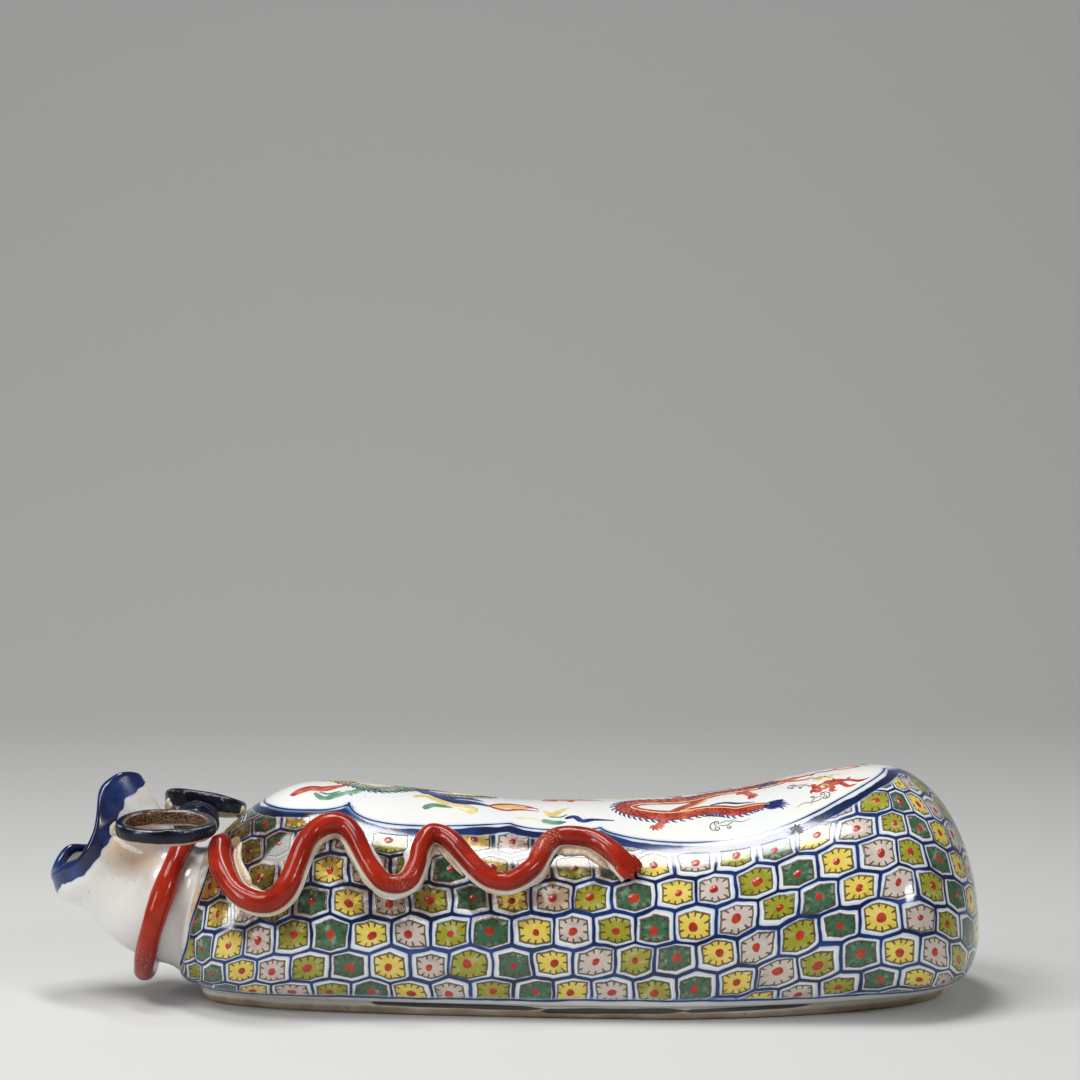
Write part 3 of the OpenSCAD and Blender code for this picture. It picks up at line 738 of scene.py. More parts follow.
painted_glaze, place, shader = new_material("painted_glaze")
cell_map = shader.id_data.nodes.new("ShaderNodeUVMap")
cell_map.uv_map = "Cells"
ground = use(glaze_ground, Place=place)
hexes = use(turtle_back, Cell=cell_map.outputs[0], Place=place, Under=ground["Color"])
edge_away, line_away, neck_away, cord_away, depth_in = [
    named_value(shader, label) for label in ("border", "inner border", "neck", "cord", "inside")]
place_x, _, place_z = split(place)
x_here, z_here = place_x * (1 / MM), place_z * (1 / MM)

# The painter's hand wanders along the border, above the hem and at the neck, and keeps clear of the tails.
hem, neck_line = 9.4, 8.4
hand_shade = grain(place, 42)
hand = hand_shade * 2.4 - 1.2
edge_away = edge_away + hand * 0.5
neck_away = neck_away + (z_here * -0.29 + 10.8)
hem_z = z_here - fade(x_here, 40.0, 150.0) * 2.6 - hand
margin = cord_away + (grain(place, 55) * 9.0 - 4.5)
patterned = fade(edge_away, 1.2, 1.8) * fade(hem_z, hem, hem + 0.4)
patterned = patterned * fade(neck_away + hand, neck_line - 0.2, neck_line + 0.3) * fade(margin, 4.6, 5.1)

# Enamel burnt in patches beside the tails, and then the cobalt lines: border, inner border, hem and neck.
burnt = (1.0 - fade(cord_away, 11.0, 24.0)) * fade(grain(place, 150, 4, 0.65), 0.37, 0.55)
burnt_tint = (0.38, 0.28, 0.21, 1)
colour = mix(patterned, ground["Color"], mix(burnt * 0.9, hexes["Color"], burnt_tint, "MULTIPLY"))
for distance, half, shown in ((edge_away, 2.2, None), (line_away + hand * 0.4, 0.48, None),
                              (hem_z - hem, 0.5, calc("GREATER_THAN", neck_away, 8.0)),
                              (neck_away + hand - neck_line, 0.7, fade(edge_away, 1.0, 1.5))):
    line = use(cobalt_line, Place=place, Distance=distance, Half=half, Under=colour)["Color"]
    colour = mix(shown, colour, line) if shown else line

# Stains along the front tail, a burst bubble with soot in it, and the bare clay inside the bag.
stain_places = (((-0.158, -0.03, 0.075), 0.05), ((-0.136, -0.046, 0.076), 0.058),
                ((-0.09, -0.055, 0.075), 0.032), ((-0.064, -0.06, 0.066), 0.03),
                ((-0.04, -0.063, 0.062), 0.026), ((-0.004, -0.058, 0.070), 0.032))
bubble_place, bubble_r, soot_black = (0.093, -0.043, 0.0796), 0.0048, (0.006, 0.006, 0.009, 1)
clay_dark, clay_light = (0.36, 0.28, 0.19, 1), (0.50, 0.42, 0.31, 1)
stained = colour
for middle, reach in stain_places:
    stained = use(kiln_stain_and_shade, Place=place, Middle=middle, Reach=reach, Under=stained)["Color"]
colour = mix(fade(edge_away, -1.0, 1.0), colour, stained)
bubble_near = 1.0 - apart(place, bubble_place) * (1 / bubble_r)
bubble = fade(bubble_near + (grain(place, 800, 3, 0.7) * 3.0 - 1.6), 0.3, 0.5) * fade(bubble_near, 0.0, 0.1)
inside = fade(depth_in, 0.4, 0.6)
colour = mix(inside, mix(bubble, colour, soot_black), mix(hand_shade, clay_dark, clay_light))
dress(shader, colour, calc("MAXIMUM", bubble, inside) * 0.6 + ground["Roughness"],
      ground["Height"] * 0.25 + patterned * hexes["Height"], 0.3)
gloss(shader)

inner_border = 3.4
for part, node in (("front", "front_wall"), ("rear", "rear_wall"), ("panel", "headrest_panel")):
    outer = grids["out"][part]
    points, faces = shell(outer, grids["in"][part])
    skin_points = outer.reshape(-1, 3)
    station = np.repeat((along - along[0])[-len(outer):], outer.shape[1])
    values = {"border": border_distance(skin_points, 0),
              "inner border": border_distance(skin_points, inner_border),
              "neck": station, "cord": distance_from(tail_places, skin_points)}
    values = {label: np.tile(array, 2) for label, array in values.items()}
    values["inside"] = np.repeat([0.0, 1.0], len(skin_points))
    glazed = mesh_piece(node + "_glazed", points, faces, painted_glaze,
                        np.tile(cells[part].reshape(-1, 2), (2, 1)),
                        np.concatenate([bag_normals[part], -bag_normals[part]]), values)
    fix_on(glazed, node)
panel_piece = glazed

# The painting on the panel: dragons after a flaming pearl among clouds, in enamels just proud of the glaze.
# Strokes are chosen in plan. One tree of nodes sweeps each with a soft profile and drops it on the panel.
def named_input(tree, label, kind="FLOAT"):
    """A value that the path or the profile carries."""
    node = tree.nodes.new("GeometryNodeInputNamedAttribute")
    node.data_type = kind
    node.inputs["Name"].default_value = label
    return Value(next(s for s in node.outputs if s.enabled and s.name == "Attribute"))


def geometry_step(tree, kind, **links):
    """One step of a tree of geometry nodes."""
    node = tree.nodes.new("GeometryNode" + kind)
    for label, value in links.items():
        put(node.inputs[label.replace("_", " ")], value)
    return node


def scaled(vector, value):
    """A vector times a value."""
    node = node_with([vector], "ShaderNodeVectorMath", operation="SCALE")
    put(node.inputs["Scale"], value)
    return Value(node.outputs[0])


def across(tree):
    """A profile's point moved to the side of its path, and how far it still has to move outwards."""
    around_x, around_y, _ = split(named_input(tree, "around", "FLOAT_VECTOR"))
    aside = scaled(named_input(tree, "side", "FLOAT_VECTOR"), around_x * named_input(tree, "half_side"))
    middle = named_input(tree, "centre", "FLOAT_VECTOR")
    return vector_sum("ADD", middle, aside), around_y * named_input(tree, "half_out")


def finish_tree(tree, path, profile, position, material, result):
    """Sweeps the path with the profile, moves the points to their places, and dresses one plain mesh."""
    rail = geometry_step(tree, "MeshToCurve", Mesh=path)
    outline = geometry_step(tree, "ObjectInfo", Object=profile)
    outline = geometry_step(tree, "MeshToCurve", Mesh=outline.outputs["Geometry"])
    swept = geometry_step(tree, "CurveToMesh", Curve=rail.outputs[0], Profile_Curve=outline.outputs[0],
                          Fill_Caps=True)
    moved = geometry_step(tree, "SetPosition", Geometry=swept.outputs[0], Position=position)
    smooth = geometry_step(tree, "SetShadeSmooth", Geometry=moved.outputs[0], Shade_Smooth=True)
    whole = geometry_step(tree, "RealizeInstances", Geometry=smooth.outputs[0])
    dressed = geometry_step(tree, "SetMaterial", Geometry=whole.outputs[0], Material=material)
    put(result, dressed.outputs[0])


stroke_tree, takes, gives = new_group(
    "painted_stroke", {"Path": "Geometry", "Profile": "Object", "Ground": "Object", "Enamel": "Material"},
    {"Strokes": "Geometry"}, "Geometry")
over, rise = across(stroke_tree)
ground_shape = geometry_step(stroke_tree, "ObjectInfo", Object=takes["Ground"])
drop = geometry_step(stroke_tree, "Raycast", Target_Geometry=ground_shape.outputs["Geometry"],
                     Source_Position=over, Ray_Direction=(0, 0, -1), Ray_Length=1.0)
hit_place, hit_normal = Value(drop.outputs["Hit Position"]), Value(drop.outputs["Hit Normal"])
landed = vector_sum("ADD", hit_place, scaled(hit_normal, rise))
finish_tree(stroke_tree, takes["Path"], takes["Profile"], landed, takes["Enamel"], gives["Strokes"])


def wire(name, rows, closed, vectors, floats):
    """An object of rows of points joined one by one, with values for the trees of nodes."""
    mesh = bpy.data.meshes.new(name)
    edges = []
    start = 0
    for n in rows:
        edges += [(start + k, start + (k + 1) % n) for k in range(n if closed else n - 1)]
        start += n
    mesh.from_pydata([(0.0, 0.0, float(k)) for k in range(start)], edges, [])
    for kind, field, arrays in (("FLOAT_VECTOR", "vector", vectors), ("FLOAT", "value", floats)):
        for label, array in arrays.items():
            layer = mesh.attributes.new(label, kind, "POINT")
            layer.data.foreach_set(field, np.asarray(array, np.float32).ravel())
    piece = bpy.data.objects.new(name, mesh)
    bpy.context.scene.collection.objects.link(piece)
    return piece


def profile_wire(name, points, floats=None):
    """A closed profile: places across a path, and out of it."""
    flat = np.concatenate([points, np.zeros((len(points), 1))], 1)
    return wire(name, [len(points)], True, {"around": flat}, floats or {})


def grow(piece, tree, **values):
    """Runs a tree of nodes on a piece and keeps the result as its plain mesh, with its faces outwards."""
    modifier = piece.modifiers.new(tree.name, "NODES")
    modifier.node_group = tree
    for socket in tree.interface.items_tree:
        if socket.in_out == "INPUT" and socket.name in values:
            modifier[socket.identifier] = values[socket.name]
    depsgraph = bpy.context.evaluated_depsgraph_get()
    mesh = bpy.data.meshes.new_from_object(piece.evaluated_get(depsgraph), depsgraph=depsgraph)
    piece.modifiers.clear()
    piece.data = mesh
    shape = bmesh.new()
    shape.from_mesh(mesh)
    if shape.calc_volume(signed=True) < 0:
        bmesh.ops.reverse_faces(shape, faces=shape.faces)
        shape.to_mesh(mesh)
    shape.free()
    return piece


painted = {}


def brush(ink, points, half, start=0.3, end=0.1, lift=0.14):
    """A brush stroke through places in plan, which swells from its start and runs out thin."""
    line = through(points, 6)
    t = np.linspace(0, 1, len(line))
    press = np.minimum(1, start + (1 - start) * t / 0.2) * np.minimum(1, end + (1 - end) * (1 - t) / 0.35)
    painted.setdefault(ink, []).append((line, half * press, lift))


def turned(points, middle, size=1.0, angle=0.0, flip=1):
    """Places of a small drawing, moved to where it is painted."""
    p = np.asarray(points, float) * (size, size * flip)
    c, s = np.cos(np.radians(angle)), np.sin(np.radians(angle))
    return np.stack([middle[0] + c * p[:, 0] - s * p[:, 1], middle[1] + s * p[:, 0] + c * p[:, 1]], -1)


def curl(middle, size, turns, angle, way):
    """A spiral that closes in on a middle."""
    t = np.linspace(0, 1, 10)
    bearing = np.radians(angle) + way * 2 * np.pi * turns * t
    reach = size * (1 - 0.8 * t)
    return np.stack([middle[0] + reach * np.cos(bearing), middle[1] + reach * np.sin(bearing)], -1)


def cloud(middle, size, angle, line_ink, wash_ink, ribbon_ink):
    """A cloud: a head of two curls under a bowed brow, and a winding ribbon with curls beside it."""
    def at(points):
        return turned(points, middle, size, angle)

    thin = 0.2
    ribbon_half, side_half = thin, thin
    if wash_ink:
        brush(wash_ink, at([(0.6, 0), (2.2, 0.2), (4.4, 0)]), 2.2 * size, 0.7, 0.6, 0.05)
        thin, ribbon_half, side_half = 0.45 * size, 0.95 * size, 0.6 * size
    long_ribbon = [(1.2, 0), (-3, 1.0), (-7, -0.9), (-11, 0.8), (-15.5, -0.3)]
    brush(ribbon_ink, at(long_ribbon), ribbon_half, 0.6, 0.05)
    brush(ribbon_ink, at([(0.6, -1.4), (-2.6, -2.3), (-5.4, -1.7), (-8, -3.2)]), side_half, 0.7, 0.05)
    curls = (((2.0, 1.9), 1.7, -70, 1), ((2.0, -1.9), 1.7, 70, -1), ((-4.2, 2.7), 1.3, -60, 1))
    for spot, wide, bearing, way in curls:
        brush(line_ink, curl(at([spot])[0], wide * size, 1.2, bearing + angle, way), thin, 0.8, 0.5)
    brow = [(1.6, -3.5), (4.4, -2.8), (5.8, -0.9), (5.8, 0.9), (4.4, 2.8), (1.6, 3.5)]
    brush(line_ink, at(brow), thin * 1.2, 0.4, 0.3)


def dragon(points, widths, body, edge, mane, tuft, head_turn, legs):
    """A dragon along a line from head to tail, with scales, fins, head, mane, legs and a tuft of flames."""
    spine = through(points, 8)
    t = np.linspace(0, 1, len(spine))
    way = unit(np.gradient(spine, axis=0))
    side = np.stack([-way[:, 1], way[:, 0]], -1)
    bearing = np.degrees(np.arctan2(way[:, 1], way[:, 0]))
    half = np.interp(t, *np.transpose(widths))
    painted.setdefault(body, []).append((spine, half, 0.08))
    long_lines = ((0.95, edge, 0.3, 0.2), (-0.95, edge, 0.3, 0.2), (0.55, "yellow", 0.55, 0.16))
    for share, ink, thick, lift in long_lines:
        row = spine + side * (half * share)[:, None]
        painted.setdefault(ink, []).append((row, thick * (1.1 - 0.6 * t), lift))
    scale_arc = [(-0.9, -1.1), (0.5, -0.6), (0.9, 0), (0.5, 0.6), (-0.9, 1.1)]
    fin = [(0, 0), (0.6, -1.0), (1.9, -1.7)]
    for k in range(3, len(spine) - 5, 2):
        for share in ((-0.55, 0.15) if k % 4 == 1 else (-0.85, -0.2)):
            spot = spine[k] + side[k] * half[k] * share
            brush(edge, turned(scale_arc, spot, half[k] / 4, bearing[k]), 0.2, 0.8, 0.8, 0.17)
        brush(tuft, turned(fin, spine[k] - side[k] * half[k] * 0.9, half[k] / 3, bearing[k]), 0.5, 1, 0.1)

    def head(strokes):
        return turned(strokes, spine[0], half[0] / 3.7, head_turn)

    for ink, thick, strokes in (
            (body, 3.4, [(-4, 0), (0, 0.4), (4, 0.6), (7, 0.4)]),
            (body, 1.4, [(3, 1.6), (8, 2.4), (12, 3.0), (13.5, 1.8)]),
            (body, 1.0, [(2, -2.2), (7, -3.6), (11, -4.0), (12.5, -2.8)]),
            ("yellow", 0.7, [(0, 3), (-5, 5.6), (-11, 5.4), (-14, 7)]),
            ("yellow", 0.7, [(1, 3.6), (-3, 7.4), (-8, 8.2), (-11, 10)]),
            (edge, 0.28, [(12.5, 3.2), (16, 5.5), (19, 4), (22, 6)]),
            (edge, 0.28, [(12.5, -2.8), (15.5, -5), (18.5, -4), (21, -6)]),
            ("yellow", 0.5, [(4, -0.6), (8, -0.8), (11, -0.4)]),
            ("black", 0.6, [(4.2, 2.1), (4.9, 2.4), (5.6, 2.1)]),
            (edge, 0.26, [(2.6, 1.4), (4.6, 3.5), (7, 2.0)]),
            (edge, 0.26, [(11.6, 2.2), (12.4, 1.3), (13.3, 1.6)])):
        brush(ink, head(strokes), thick, 0.7, 0.35, 0.22 if ink in ("black", edge) else 0.15)
    for k in range(7):
        lock = [(-2, 3.4 - k), (-6, 4.6 - 1.3 * k), (-10, 3.6 - 1.4 * k), (-14 + abs(k - 3), 5.0 - 1.8 * k)]
        brush(mane, head(lock), 0.55, 1, 0.05, 0.17)

    leg_size = 0.85
    for root, angle, flip in legs:
        thigh = [(0, 0), (4, 1.5), (7.5, 0), (10, -2.4)]
        brush(body, turned(thigh, root, leg_size, angle, flip), 1.9, 1, 0.5)
        for fan in np.radians(np.linspace(-75, 69, 5)):
            claw = [(10 + r * np.cos(fan + bend), -2.4 + r * np.sin(fan + bend))
                    for r, bend in ((0, 0), (2.2, 0), (4.2, 0.4))]
            brush(body, turned(claw, root, leg_size, angle, flip), 0.6, 1, 0.1)
        for k in range(3):
            flame = [(3 + k, 2), (2 + k, 4.5), (-1 + 2 * k, 6.5), (-3 + 2 * k, 7)]
            brush(body, turned(flame, root, leg_size, angle, flip), 0.45, 1, 0.05)
    for k in range(6):
        flame = [(-3, 0.5 * k - 1.2), (2, 1.3 * k - 3.2), (6, 1.2 * k - 2.2),
                 (12 - abs(k - 2) * 1.6, 1.9 * k - 5)]
        brush(tuft, turned(flame, spine[-1], 0.75, bearing[-1]), 0.85, 0.7, 0.05)


# The red dragon lies along the front in a long bend, and a green one crosses the panel nearer the neck.
dragon([(90, -3.5), (82, -4.5), (73, -3), (62, -2), (54, -5.5), (46, -7), (32, -5), (25, -7), (22, -11.5),
        (25, -16.5), (33, -21), (43, -23), (55, -21.5), (62, -23), (69, -26), (77, -25.5), (83, -26.5)],
       [(0, 3.6), (0.2, 4.4), (0.45, 4.5), (0.6, 4.4), (0.9, 3.4), (1, 1.4)],
       body="red", edge="dark red", mane="cobalt", tuft="cobalt", head_turn=-8,
       legs=[((38, -22), 262, 1), ((70, -8), -38, 1), ((44, -5), 80, -1), ((78, -2), 60, 1)])
dragon([(-104, 9), (-98, 0), (-91, -5), (-85, -7.5), (-77, -4), (-69, 3), (-61, 11), (-50, 17), (-40, 14),
        (-36, 6), (-43, 0), (-52, -3), (-60, -3)],
       [(0, 3.0), (0.15, 3.4), (0.45, 3.8), (0.6, 3.4), (0.85, 2.4), (1, 1.0)],
       body="green", edge="black", mane="red", tuft="cobalt", head_turn=140,
       legs=[((-91, -5), 255, 1), ((-78, -4), 70, -1), ((-62, 10), 170, 1), ((-42, 15), 60, 1)])

# The pearl in its flames, ahead of the red dragon.
pearl = (106.5, -20.5)
brush("yellow", curl(pearl, 1.6, 1.0, 0, 1), 1.0, 1, 1, 0.08)
brush("red", curl(pearl, 2.8, 1.05, 90, 1), 0.9, 0.8, 0.8)
for angle, reach in ((5, 20), (-12, 14), (20, 13), (48, 8), (150, 7), (205, 7), (-50, 7)):
    flame = [(2.2, 0.6), (0.5 * reach, 1.8), (0.75 * reach, -0.6), (reach, 1.2)]
    brush("red", turned(flame, pearl, 1, angle), 1.2, 0.8, 0.05)

# Scrolls, ribbons and cloud edges along the front of the panel, from the neck to the round end.
for ink, half, points in (
        ("red", 3.2, [(-121, -15), (-117.5, -12), (-113, -10), (-108, -11), (-102.5, -8), (-97, -4)]),
        ("dark red", 0.5, [(-120, -15), (-118, -11), (-112, -8.5), (-107, -9.5), (-101, -6)]),
        ("green", 1.7, [(-111, -15.5), (-107.5, -20), (-103, -18.5), (-98, -15), (-95, -17)]),
        ("green", 0.9, [(-109, -14.5), (-105, -16.5), (-100, -13)]),
        ("cobalt", 3.0, [(-67, 2), (-58, -7), (-51, -11), (-43, -10.6), (-36, -13)]),
        ("cobalt", 2.2, [(-60, -3), (-52, -5.5), (-45, -5), (-39, -7.5)]),
        ("yellow", 1.8, [(-69, -12), (-64, -9.5), (-58.5, -13), (-54, -15.5), (-48, -15.5), (-43, -17.5),
                         (-44, -20.5), (-48, -20.5), (-49.5, -18.5)]),
        ("green", 1.7, [(-64.5, -22), (-60, -18), (-52, -18.5)]),
        ("yellow", 2.2, [(-34, -12.5), (-27, -12), (-20, -13)]),
        ("red", 1.1, [(-37, -12.7), (-30, -8.5), (-22, -9.3), (-15, -14)]),
        ("red", 1.0, [(-37, -12.7), (-30, -16), (-23, -14.5), (-15, -16)]),
        ("red", 0.5, [(-26, -11), (-21, -12), (-16, -12.5)]),
        ("yellow", 0.7, [(-26, -22.5), (-19, -23), (-12.6, -25)]),
        ("yellow", 1.7, [(-13, -15.5), (-9.5, -19.5), (-6, -15.5), (-2.5, -11.5)]),
        ("green", 1.8, [(-14, -24), (-9, -26), (-3.6, -25.5)]),
        ("green", 0.6, [(-11, -21), (-6, -21.5), (-3, -19)]),
        ("cobalt", 1.5, [(-4, -22.8), (0, -21.3), (3.2, -24.8), (8, -24), (17, -25)]),
        ("red", 2.6, [(41.5, -19.5), (47.5, -16.5), (52, -13), (56.5, -8), (61, -3.5)]),
        ("yellow", 0.7, [(45, -20), (51, -16.5), (56, -11), (60, -6)]),
        ("cobalt", 0.9, [(58, -17.5), (64, -17), (70, -20), (77, -21.5)]),
        ("red", 0.8, [(112, 0.5), (114, -2), (118, -2.4), (123, 0), (121, 2.6), (116, 3), (112.5, 1.5)])):
    brush(ink, points, half, 0.5, 0.2)

# Clouds on the rest of the panel, some in lines alone: place, size, bearing, inks of line, wash and ribbon.
for entry in (
        ((62, -34), 0.8, 184, "black", None, "black"), ((104.5, -28), 0.7, 20, "black", None, "black"),
        ((107, -11), 0.7, 185, "yellow", "yellow", "yellow"), ((95, -15), 0.6, 160, "black", None, "black"),
        ((-84, 14), 0.9, 175, "red", "yellow", "red"), ((-78, 25), 1.1, 5, "cobalt", "cobalt", "cobalt"),
        ((-49, 7), 0.6, 180, "yellow", "yellow", "yellow"),
        ((-21, 21), 1.1, 175, "yellow", "yellow", "green"),
        ((8, 21), 1.2, 5, "red", "yellow", "cobalt"), ((-6, 4), 1.2, 178, "red", "red", "red"),
        ((32, 31), 1.2, 178, "green", "yellow", "green"), ((28, 12), 1.2, 5, "yellow", "green", "yellow"),
        ((58, 32), 1.3, 4, "red", "yellow", "yellow"), ((62, 15), 1.3, 180, "cobalt", "yellow", "cobalt"),
        ((92, 32), 1.1, 175, "green", "green", "red"), ((98, 16), 1.2, 172, "yellow", "yellow", "green"),
        ((122, 15), 1.0, 110, "red", "yellow", "green")):
    cloud(*entry)

lens = np.array([(-1, -0.3), (-0.92, 0.4), (-0.6, 0.9), (0, 1), (0.6, 0.9), (0.92, 0.4), (1, -0.3), (0, -1)])
stroke_profile = profile_wire("stroke_profile", lens[::-1])
ink_colours = {"red": ((0.36, 0.018, 0.008, 1), (0.62, 0.16, 0.10, 1)),
               "dark red": ((0.16, 0.006, 0.004, 1), (0.30, 0.02, 0.012, 1)),
               "cobalt": ((0.004, 0.012, 0.085, 1), (0.02, 0.07, 0.30, 1)),
               "yellow": ((0.66, 0.49, 0.12, 1), (0.80, 0.71, 0.40, 1)),
               "green": ((0.07, 0.22, 0.13, 1), (0.36, 0.54, 0.40, 1)),
               "black": ((0.012, 0.010, 0.010, 1), (0.08, 0.06, 0.05, 1))}
for ink, strokes in painted.items():
    label = ink.replace(" ", "_")
    enamel, place, shader = new_material(label + "_enamel")
    wash = grain(place, 120, 4, 0.65)
    dress(shader, mix(fade(wash, 0.38, 0.72), *ink_colours[ink]), wash * 0.2 + 0.1, grain(place, 700), 0.06)
    gloss(shader)
    rows = [len(line) for line, _, _ in strokes]
    middles = np.concatenate([line for line, _, _ in strokes])
    ways = unit(np.concatenate([np.gradient(line, axis=0) for line, _, _ in strokes]))
    layer = wire("panel_painting_" + label, rows, False,
                 {"centre": np.column_stack([middles, np.full(len(middles), above)]) * MM,
                  "side": np.column_stack([-ways[:, 1], ways[:, 0], np.zeros(len(ways))])},
                 {"half_side": np.concatenate([half for _, half, _ in strokes]) * MM,
                  "half_out": np.concatenate([np.full(len(line), lift) for line, _, lift in strokes]) * MM})
    grow(layer, stroke_tree, Profile=stroke_profile, Ground=panel_piece, Enamel=enamel)
    fix_on(layer)

# The gathered neck and flaring mouth: thrown white clay pinched into folds, with a cobalt band on the rim.
# The collar is luted to the shoulder with slip that is smoothed into a soft fillet.
collar_l, mouth_l, turn_l, neck_t = 22, 35, 30, 5
neck_rise, mouth_rise = np.radians(3), np.radians(55)
mouth_h, mouth_w, mouth_tilt = 53, 58, np.radians(39)
mouth_pinch, pinch_s, pinch_l = 0.44, 6, 26
fold_d, fold_count, fold_growth = 2.5, 4, 1.5
tube_l = collar_l + mouth_l


def tube_at(s, psi, t):
    """Places on the neck and mouth: s along the middle, psi around it with a quarter turn on top, t deep."""
    s, psi, t = np.broadcast_arrays(s, psi, t)
    bend = (mouth_rise - neck_rise) / turn_l
    bent = np.minimum(s, turn_l)
    way = neck_rise + bend * bent
    middle_x = neck_x - (np.sin(way) - np.sin(neck_rise)) / bend - (s - bent) * np.cos(way)
    middle_z = neck_z + (np.cos(neck_rise) - np.cos(way)) / bend + (s - bent) * np.sin(way)
    lean = neck_tilt + (mouth_tilt - neck_tilt) * np.minimum(1, s / turn_l)
    grown = np.maximum(0, (s - collar_l) / mouth_l) ** fold_growth
    fold = fold_d * grown * np.cos(fold_count * (psi - quarter))
    pinch = 1 - ramp(0, mouth_pinch, (s - pinch_s) / pinch_l) * (1 + np.sin(psi)) / 2
    up = ((neck_h + (mouth_h - neck_h) * s / tube_l) / 2 + fold - t) * np.sin(psi)
    across_y = (((neck_w + (mouth_w - neck_w) * s / tube_l) / 2 + fold) * pinch - t) * np.cos(psi)
    return np.stack([middle_x + up * np.sin(lean), -across_y, middle_z + up * np.cos(lean)], -1)


band_w, turned_in, throat_tan = 7.6, 3.6, (0.60, 0.50, 0.34, 1)
# The darkening under the front loop is partly a real tan kiln stain and partly painted shade, where the loop
# shades the neck.
stain_and_shade_place, stain_and_shade_reach = (-0.181, -0.028, 0.080), 0.042
neck_glaze, place, shader = new_material("neck_glaze")
ground = use(glaze_ground, Place=place)
ragged_rim = named_value(shader, "rim") + (grain(place, 48, 3) * 3.6 - 1.8)
neck_stain_and_shade = use(kiln_stain_and_shade, Place=place, Middle=stain_and_shade_place, Reach=stain_and_shade_reach, Under=ground["Color"])
throat = mix(0.6, neck_stain_and_shade["Color"], throat_tan)
bands = [use(cobalt_line, Place=place, Distance=ragged_rim, Half=half, Under=under)["Color"]
         for half, under in ((band_w, neck_stain_and_shade["Color"]), (turned_in, throat))]
colour = mix(fade(named_value(shader, "inside"), 0.4, 0.6), *bands)
dress(shader, colour, neck_stain_and_shade["Mask"] * 0.4 + ground["Roughness"], ground["Height"], 0.12)
gloss(shader)

# The rim's wave and the width of its band, at bearings around the mouth. The throat swells under the rim.
rim_marks = through([(-90, 0), (-60, -2), (-30, -5), (0, -3), (30, 6), (60, 5.5), (90, -2), (135, -4),
                     (180, -9), (210, -6), (240, 2), (270, 0)], 12)
band_marks = [(-90, 4.5), (-60, 5), (-20, 6), (15, 7.5), (40, 8), (65, 6.5), (90, 3.2), (135, 4), (225, 5),
              (270, 4.5)]
psi = np.linspace(3 * quarter, -quarter, 144, endpoint=False)
collar_s = np.linspace(0, collar_l, 26)[:, None]
mouth_s = np.linspace(collar_l, tube_l, 44)[:, None]
mouth_share = (mouth_s - collar_l) / mouth_l
rim_wave = np.interp(np.degrees(psi), rim_marks[:, 0], rim_marks[:, 1])
band_share = band_w / np.interp(np.degrees(psi), *np.transpose(band_marks))
throat_d, throat_s, throat_run = 5, 50, 8
waist_d, waist_s, waist_run = 1.5, 31, 7
swell = throat_d * np.exp(-((mouth_s - throat_s) / throat_run) ** 2)
swell = swell - waist_d * np.exp(-((mouth_s - waist_s) / waist_run) ** 2)
swell = swell * mouth_share ** 0.3 * np.maximum(0, -np.sin(psi)) ** 1.5
waved_s = mouth_s + rim_wave * mouth_share ** 2
collar_out, collar_in = tube_at(collar_s, psi, 0), tube_at(collar_s, psi, neck_t)
mouth_out, mouth_in = tube_at(waved_s, psi, -swell), tube_at(waved_s, psi, neck_t - swell)
lip_n = 4
lip_turn = np.linspace(0, np.pi, 2 * lip_n + 1)[1:-1, None]
lip_t = neck_t / 2 * (1 - np.cos(lip_turn)) - swell[-1:]
lip = tube_at(waved_s[-1:] + neck_t / 2 * np.sin(lip_turn), psi, lip_t)
mouth_outer = np.concatenate([mouth_out, lip[:lip_n]])
mouth_inner = np.concatenate([mouth_in, lip[:lip_n - 2:-1]])
neck_normals = seam_normals([collar_out, mouth_outer], wrap=True)
neck_inner_normals = seam_normals([collar_in, mouth_inner], wrap=True)
mouth_rows = np.concatenate([tube_l - mouth_s[:, 0], np.zeros(lip_n)])
for node, outer, inner, index, rim_rows in (
        ("neck_collar", collar_out, collar_in, 0, tube_l - collar_s[:, 0]),
        ("mouth_frill", mouth_outer, mouth_inner, 1, mouth_rows)):
    points, faces = shell(outer, inner, wrap=True)
    rim = np.tile((rim_rows[:, None] * band_share).ravel(), 2)
    values = {"rim": rim, "inside": np.repeat([0.0, 1.0], len(rim) // 2)}
    normals = np.concatenate([neck_normals[index], -neck_inner_normals[index]])
    glazed = mesh_piece(node + "_glazed", points, faces, neck_glaze, normals=normals, values=values)
    fix_on(glazed, node)

# Slip smoothed with a finger into the corner between collar and shoulder.
fillet_turn, fillet_l = np.radians(80), 5
corner_line = tube_at(0, psi, 0)
collar_side = tube_at(fillet_l, psi, 0)
wall_side = skin(shoulder_line(np.full(len(psi), fillet_turn), 0), np.arcsin(np.sin(psi))[:, None])[:, 0]
wall_side = wall_side * np.stack([np.ones_like(psi), -np.sign(np.cos(psi)), np.ones_like(psi)], -1)
bow = np.linspace(1, 0, 11)[:, None, None]
fillet = (1 - bow) ** 2 * collar_side + 2 * bow * (1 - bow) * corner_line + bow ** 2 * wall_side
points, faces = shell(fillet, np.broadcast_to(corner_line, fillet.shape), wrap=True)
fillet_normals = seam_normals([fillet], wrap=True)[0]
values = {"rim": np.full(len(points), float(tube_l)), "inside": np.zeros(len(points))}
normals = np.concatenate([fillet_normals, -fillet_normals])
fix_on(mesh_piece("collar_slip", points, faces, neck_glaze, normals=normals, values=values))

